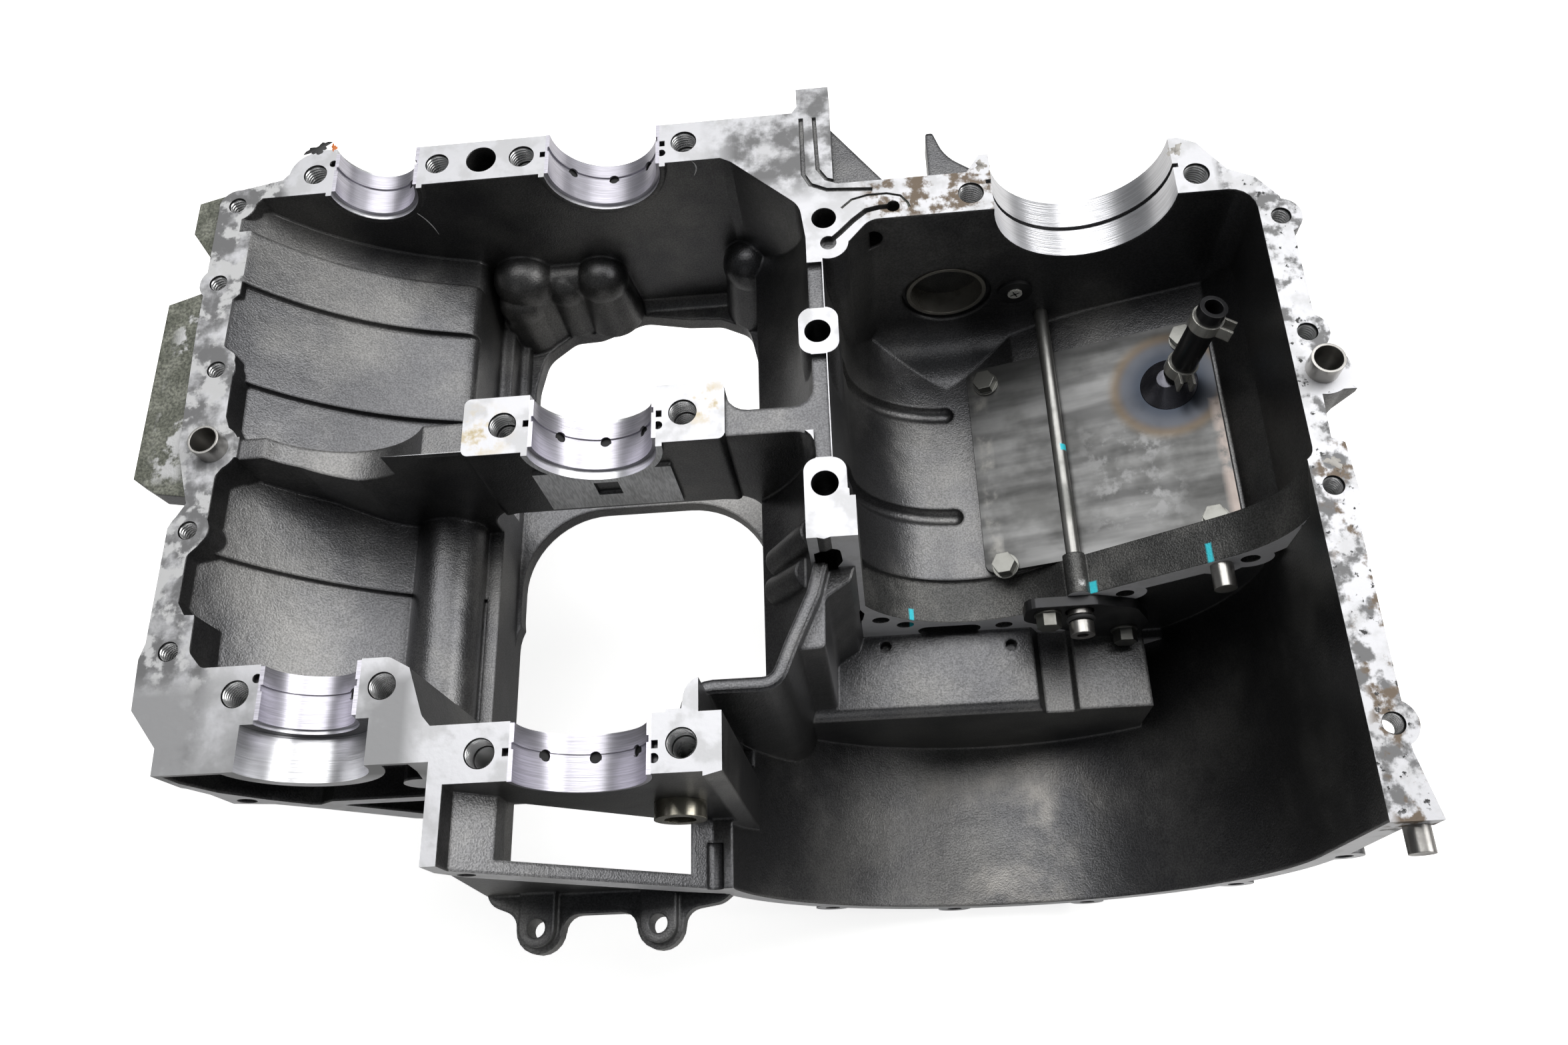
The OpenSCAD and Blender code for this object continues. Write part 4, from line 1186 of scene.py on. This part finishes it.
WING = Finish(
    "oily_wing", (0.115, 0.12, 0.095), (0.20, 0.205, 0.17), metallic=0.3, roughness=0.5, worn_roughness=0.6,
    patch=120.0, high=0.6, grain=0.5, grain_scale=900.0, edge=0.0006, sand=0.4,
    marks=(
        # powder beside the flange
        Mark(POWDER, (-162, -14, -20), (-146, 64, 20), soft=5.0, patch=75.0, levels=(0.50, 0.56), seed=5.0),
    ),
)
JOINT = Finish(
    "milled_joint", (0.62, 0.62, 0.64), (0.54, 0.54, 0.55), metallic=0.35, roughness=0.38,
    worn_roughness=0.45, patch=70.0, low=0.48, high=0.6, grain=0.1, across=(500.0, 500.0, 500.0),
    marks=(
        # grey film on the left flange and its front corner, and round the rear saddles
        Mark(
            GREY_FILM, (-170, -160, -20), (-122, 150, 20), soft=6.0, patch=70.0, levels=(0.36, 0.56),
            seed=1.0,
        ),
        Mark(
            (0.33, 0.33, 0.335), (-170, -160, -20), (-50, -84, 20), soft=8.0, patch=30.0,
            levels=(0.30, 0.52), seed=2.0,
        ),
        Mark(GREY_FILM, (38, 84, -20), (112, 150, 20), soft=14.0, patch=75.0, levels=(0.38, 0.58), seed=3.0),
        # powder on the left flange, brown film by the oil grooves
        Mark(POWDER, (-170, -92, -20), (-120, 150, 20), soft=8.0, patch=110.0, levels=(0.49, 0.57), seed=4.0),
        Mark(BROWN_FILM, (98, 72, -20), (158, 112, 20), soft=4.0, patch=130.0, levels=(0.46, 0.56), seed=6.0),
        # films and dark flecks on the right flange
        Mark(
            GREY_FILM, (226, -160, -20), (262, 110, 20), soft=3.0, patch=95.0, levels=(0.49, 0.58),
            seed=7.0,
        ),
        Mark(
            BROWN_FILM, (236, -160, -20), (262, -20, 20), soft=3.0, patch=110.0, levels=(0.52, 0.60),
            seed=8.0,
        ),
        Mark(
            (0.03, 0.03, 0.03), (232, -150, -20), (262, 100, 20), soft=3.0, patch=260.0,
            levels=(0.60, 0.64), seed=9.0,
        ),
        # yellow stains on the middle saddle
        RoundMark(YELLOW_STAIN, (-40, -3, 0), (2, 15, 0), patch=150.0, seed=3.0),
        RoundMark(YELLOW_STAIN, (40, 3, 0), (2, 13, 0), patch=130.0, levels=(0.5, 0.62), seed=6.0),
    ),
)
SAWN = Finish(
    "sawn_face", (0.90, 0.90, 0.91), (0.74, 0.74, 0.74), metallic=0.1, roughness=0.36, worn_roughness=0.45,
    patch=60.0, low=0.4, high=0.6, grain=0.2, sand=0.2, across=(1500.0, 60.0, 240.0),
)
BORE_WALL = Finish(
    "bored_wall", (0.66, 0.66, 0.68), (0.30, 0.30, 0.31), metallic=0.8, roughness=0.28, patch=55.0, low=0.6,
    high=0.8, grain=0.15, sand=0.12, across=(60.0, 1800.0, 60.0), marks=oil_hole_shade_marks(),
)
SHELL = Finish(
    "bearing_overlay", (0.54, 0.525, 0.58), (0.43, 0.415, 0.46), metallic=0.8, roughness=0.33,
    worn_roughness=0.40, low=0.5, high=0.8, grain=0.10, sand=0.15, across=(90.0, 2600.0, 90.0),
    marks=oil_hole_shade_marks(),
)
# cut threads: bright metal, with painted shade darkening their roots
THREAD = Finish(
    "cut_thread", (0.85, 0.85, 0.85), (0.7, 0.7, 0.7), metallic=0.8, roughness=0.26, worn_roughness=0.3,
    grain=0.0, edge=0.0, root_shade=0.96,
)
# near black: painted shade of the bolt holes' depths, far darker than the cut threads' own metal
SHADED_HOLE_WALL = Finish(
    "shaded_drilled_wall", (0.06, 0.06, 0.06), (0.04, 0.04, 0.04), metallic=0.8, roughness=0.4,
)
DOWEL = Finish(
    "turned_steel", (0.40, 0.39, 0.37), (0.22, 0.21, 0.20), metallic=0.95, roughness=0.28,
    worn_roughness=0.42,
)
TUBE = Finish(
    "drawn_tube", (0.34, 0.335, 0.32), (0.20, 0.20, 0.19), roughness=0.34, worn_roughness=0.45,
    marks=(
        Mark(CYAN_PAINT, (169.8, 9.2, -72), (173, 12.4, -60), soft=0.5),
    ),
)
PLATE = Finish(
    "rolled_plate", (0.125, 0.125, 0.124), (0.078, 0.078, 0.076), metallic=0.92, roughness=0.33,
    worn_roughness=0.42, patch=22.0, low=0.42, high=0.62, grain=0.06, sand=0.38, across=(9.0, 120.0, 60.0),
    marks=(
        # scratched patch
        Mark(
            (0.168, 0.168, 0.168), (176, -30, -90), (216, 22, -50), soft=12.0, patch=170.0,
            levels=(0.48, 0.62), seed=2.0, matt=False,
        ),
        # heat tint round the welded stub, straw outside and blue inside
        RoundMark((0.105, 0.078, 0.050), (214.3, 31, -63.6), (19, 25, 0), matt=False),
        RoundMark((0.066, 0.070, 0.080), (214.3, 31, -63.6), (17, 22, 0), matt=False),
        RoundMark((0.034, 0.040, 0.052), (214.3, 31, -63.6), (11, 18, 0), matt=False),
        # pale left and right edges
        Mark(
            (0.24, 0.235, 0.22), (139, -34, -90), (146, 56, -80), soft=2.0, patch=60.0,
            levels=(0.42, 0.6), seed=2.0, matt=False,
        ),
        Mark(
            (0.25, 0.215, 0.196), (225.5, -34, -90), (236, 22, -40), soft=2.5, patch=90.0,
            levels=(0.36, 0.5), seed=5.0, matt=False,
        ),
    ),
)
GASKET = Finish(
    "gasket", (0.02, 0.02, 0.02), (0.03, 0.03, 0.03), metallic=0.0, roughness=0.6, worn_roughness=0.6,
)
ZINC = Finish(
    "zinc_bolt", (0.21, 0.21, 0.195), (0.14, 0.137, 0.122), roughness=0.28, worn_roughness=0.4,
)
WELD = Finish(
    "blued_steel", (0.10, 0.10, 0.115), (0.04, 0.04, 0.05), metallic=0.8, roughness=0.22, worn_roughness=0.35,
    patch=60.0,
)
HOSE = Finish(
    "oily_rubber", (0.012, 0.012, 0.013), (0.02, 0.02, 0.02), metallic=0.0, roughness=0.22,
    worn_roughness=0.3,
)
CLIP = Finish(
    "spring_band", (0.66, 0.65, 0.60), (0.36, 0.35, 0.32), metallic=0.75, roughness=0.22, worn_roughness=0.35,
)
GROUND = Finish(
    "ground_ring", (0.40, 0.38, 0.33), (0.20, 0.18, 0.15), metallic=0.7, roughness=0.2, worn_roughness=0.3,
)
SCREW = Finish(
    "bright_screw", (0.78, 0.77, 0.72), (0.55, 0.54, 0.50), metallic=0.4, roughness=0.25, worn_roughness=0.35,
)
# black oxide on the cup and bracket; the same black paints the shade of the screw's recess
BLACK = Finish("black_oxide_and_recess_shade", (0.03, 0.03, 0.032), (0.05, 0.05, 0.05), metallic=0.7)
OIL_RING = Finish(
    "oily_ring", (0.36, 0.34, 0.28), (0.2, 0.18, 0.13), roughness=0.25, worn_roughness=0.4,
)
CHALK = Finish(
    "chalk", WHITE_PAINT, (0.5, 0.5, 0.5), metallic=0.0, roughness=0.8, worn_roughness=0.8, patch=900.0,
)
BLACK_SEALANT = Finish(
    "black_sealant", (0.02, 0.02, 0.02), (0.05, 0.045, 0.04), metallic=0.0, roughness=0.5, worn_roughness=0.6,
)
ORANGE_SEALANT = Finish(
    "orange_sealant", (0.62, 0.17, 0.03), (0.40, 0.12, 0.03), metallic=0.0, roughness=0.5, worn_roughness=0.6,
)
GREY_SEALANT = Finish(
    "grey_sealant", (0.42, 0.40, 0.37), (0.16, 0.15, 0.13), metallic=0.0, roughness=0.6, worn_roughness=0.7,
    patch=300.0,
)

CASTING_FINISHES = {
    Face.CAST: CAST,
    Face.JOINT: JOINT,
    Face.BORE: BORE_WALL,
    Face.HOLE: SHADED_HOLE_WALL,
    Face.WING: WING,
    Face.SAWN: SAWN,
    Face.ARCH: ARCH,
}

# Strokes of chalk on the rear wall, and sealant crumbs on the joint's edge.
CHALK_STROKES = (
    ((-80.5, -14.5), (-75.6, -21.0), (-75.1, -31.1)),
    ((35.0, -0.4), (37.6, -3.6), (34.6, -8.7)),
)
BLACK_CRUMBS = ((-115.2, 131.6, -0.1, 2.4, 2.0, 25.0),)
ORANGE_CRUMBS = ((-108.8, 131.4, -0.1, 1.1, 1.9, 95.0),)
GREY_CRUMBS = (
    (143.4, 95.0, -0.2, 2.6, 1.2, 80.0),
    (214.6, 94.5, -0.2, 2.4, 1.6, 60.0),
    (244.0, -36.0, -0.2, 2.4, 1.7, -30.0),
)

FITTED = {
    "main_shell_rear": (Slot.SHELL, SHELL),
    "main_shell_middle": (Slot.SHELL, SHELL),
    "main_shell_front": (Slot.SHELL, SHELL),
    "balancer_shell_rear": (Slot.SHELL, SHELL),
    "balancer_shell_front": (Slot.SHELL, SHELL),
    "dowel_sleeve_left": (Slot.DOWEL, DOWEL),
    "dowel_sleeve_right": (Slot.DOWEL, DOWEL),
    "breather_gasket": (Slot.GASKET, GASKET),
    "breather_plate": (Slot.PLATE, PLATE),
    "breather_bolts": (Slot.BOLT, ZINC),
    "breather_stub": (Slot.WELD, WELD),
    "breather_hose": (Slot.HOSE, HOSE),
    "hose_clip_lower": (Slot.CLIP, CLIP),
    "hose_clip_upper": (Slot.CLIP, CLIP),
    "oil_tube": (Slot.DOWEL, TUBE),
    "input_bearing_ring": (Slot.GROUND, GROUND),
    "retainer_cup": (Slot.BLACK, BLACK),
    "retainer_screw": (Slot.DOWEL, SCREW),
    "oil_nozzle": (Slot.DOWEL, DOWEL),
    "nozzle_o_ring": (Slot.GASKET, GASKET),
    "guide_bracket": (Slot.BLACK, BLACK),
    "bracket_bolts": (Slot.BOLT, ZINC),
    "bulkhead_dowel": (Slot.DOWEL, DOWEL),
    "clutch_cover_dowel": (Slot.DOWEL, DOWEL),
    "oil_passage_ring": (Slot.OIL_RING, OIL_RING),
}


def thread_list() -> list[tuple]:
    """Lists the threaded holes.

    Returns:
        (x, y, radius, pitch, top, length) of each thread, in millimetres.
    """
    mains = [(side * MAIN_BOLT_X, y) for side in (-1, 1) for y in MAIN_BOLT_Y]
    balancers = [(BALANCER_X + side * BALANCER_BOLT_X, y) for side in (-1, 1) for y in BALANCER_BOLT_Y]
    outputs = [(OUTPUT_X + side * OUTPUT_BOLT_X, OUTPUT_BOLT_Y) for side in (-1, 1)]
    found = [(x, y, COUNTERBORE_RADIUS, PITCH, THREAD_TOP, COUNTERBORE_LENGTH) for x, y in mains]
    found += [(x, y, MAIN_RADIUS, PITCH, MAIN_TOP, MAIN_LENGTH) for x, y in mains]
    found += [(x, y, CAP_RADIUS, PITCH, THREAD_TOP, CAP_LENGTH) for x, y in balancers + outputs]
    found += [(x, y, PERIMETER_RADIUS, PITCH, THREAD_TOP, length) for x, y, length in PERIMETER_BOLTS]
    return found


def main() -> None:
    """Loads the frame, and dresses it."""
    logging.basicConfig(level=logging.INFO, format="%(name)s: %(message)s")
    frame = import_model()
    cad_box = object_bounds()
    nodes = frame["nodes"]
    shop = Finishes()
    Casting().dress(nodes, shop, CASTING_FINISHES)
    FittedPieces(FITTED).dress(nodes, shop)
    BoltThreads(thread_list()).build(shop.material(THREAD))
    ChalkLines(CHALK_STROKES).build(shop.material(CHALK))
    # a dark cross of painted shade stands for the screw's recess
    ScrewRecessShade().build(shop.material(BLACK))
    SealantCrumbs("black_crumb", BLACK_CRUMBS).build(shop.material(BLACK_SEALANT))
    SealantCrumbs("orange_crumb", ORANGE_CRUMBS).build(shop.material(ORANGE_SEALANT))
    SealantCrumbs("grey_crumbs", GREY_CRUMBS).build(shop.material(GREY_SEALANT))
    Studio().build(cad_box[0].z - FLOOR_GAP)


if __name__ == "__main__":
    main()
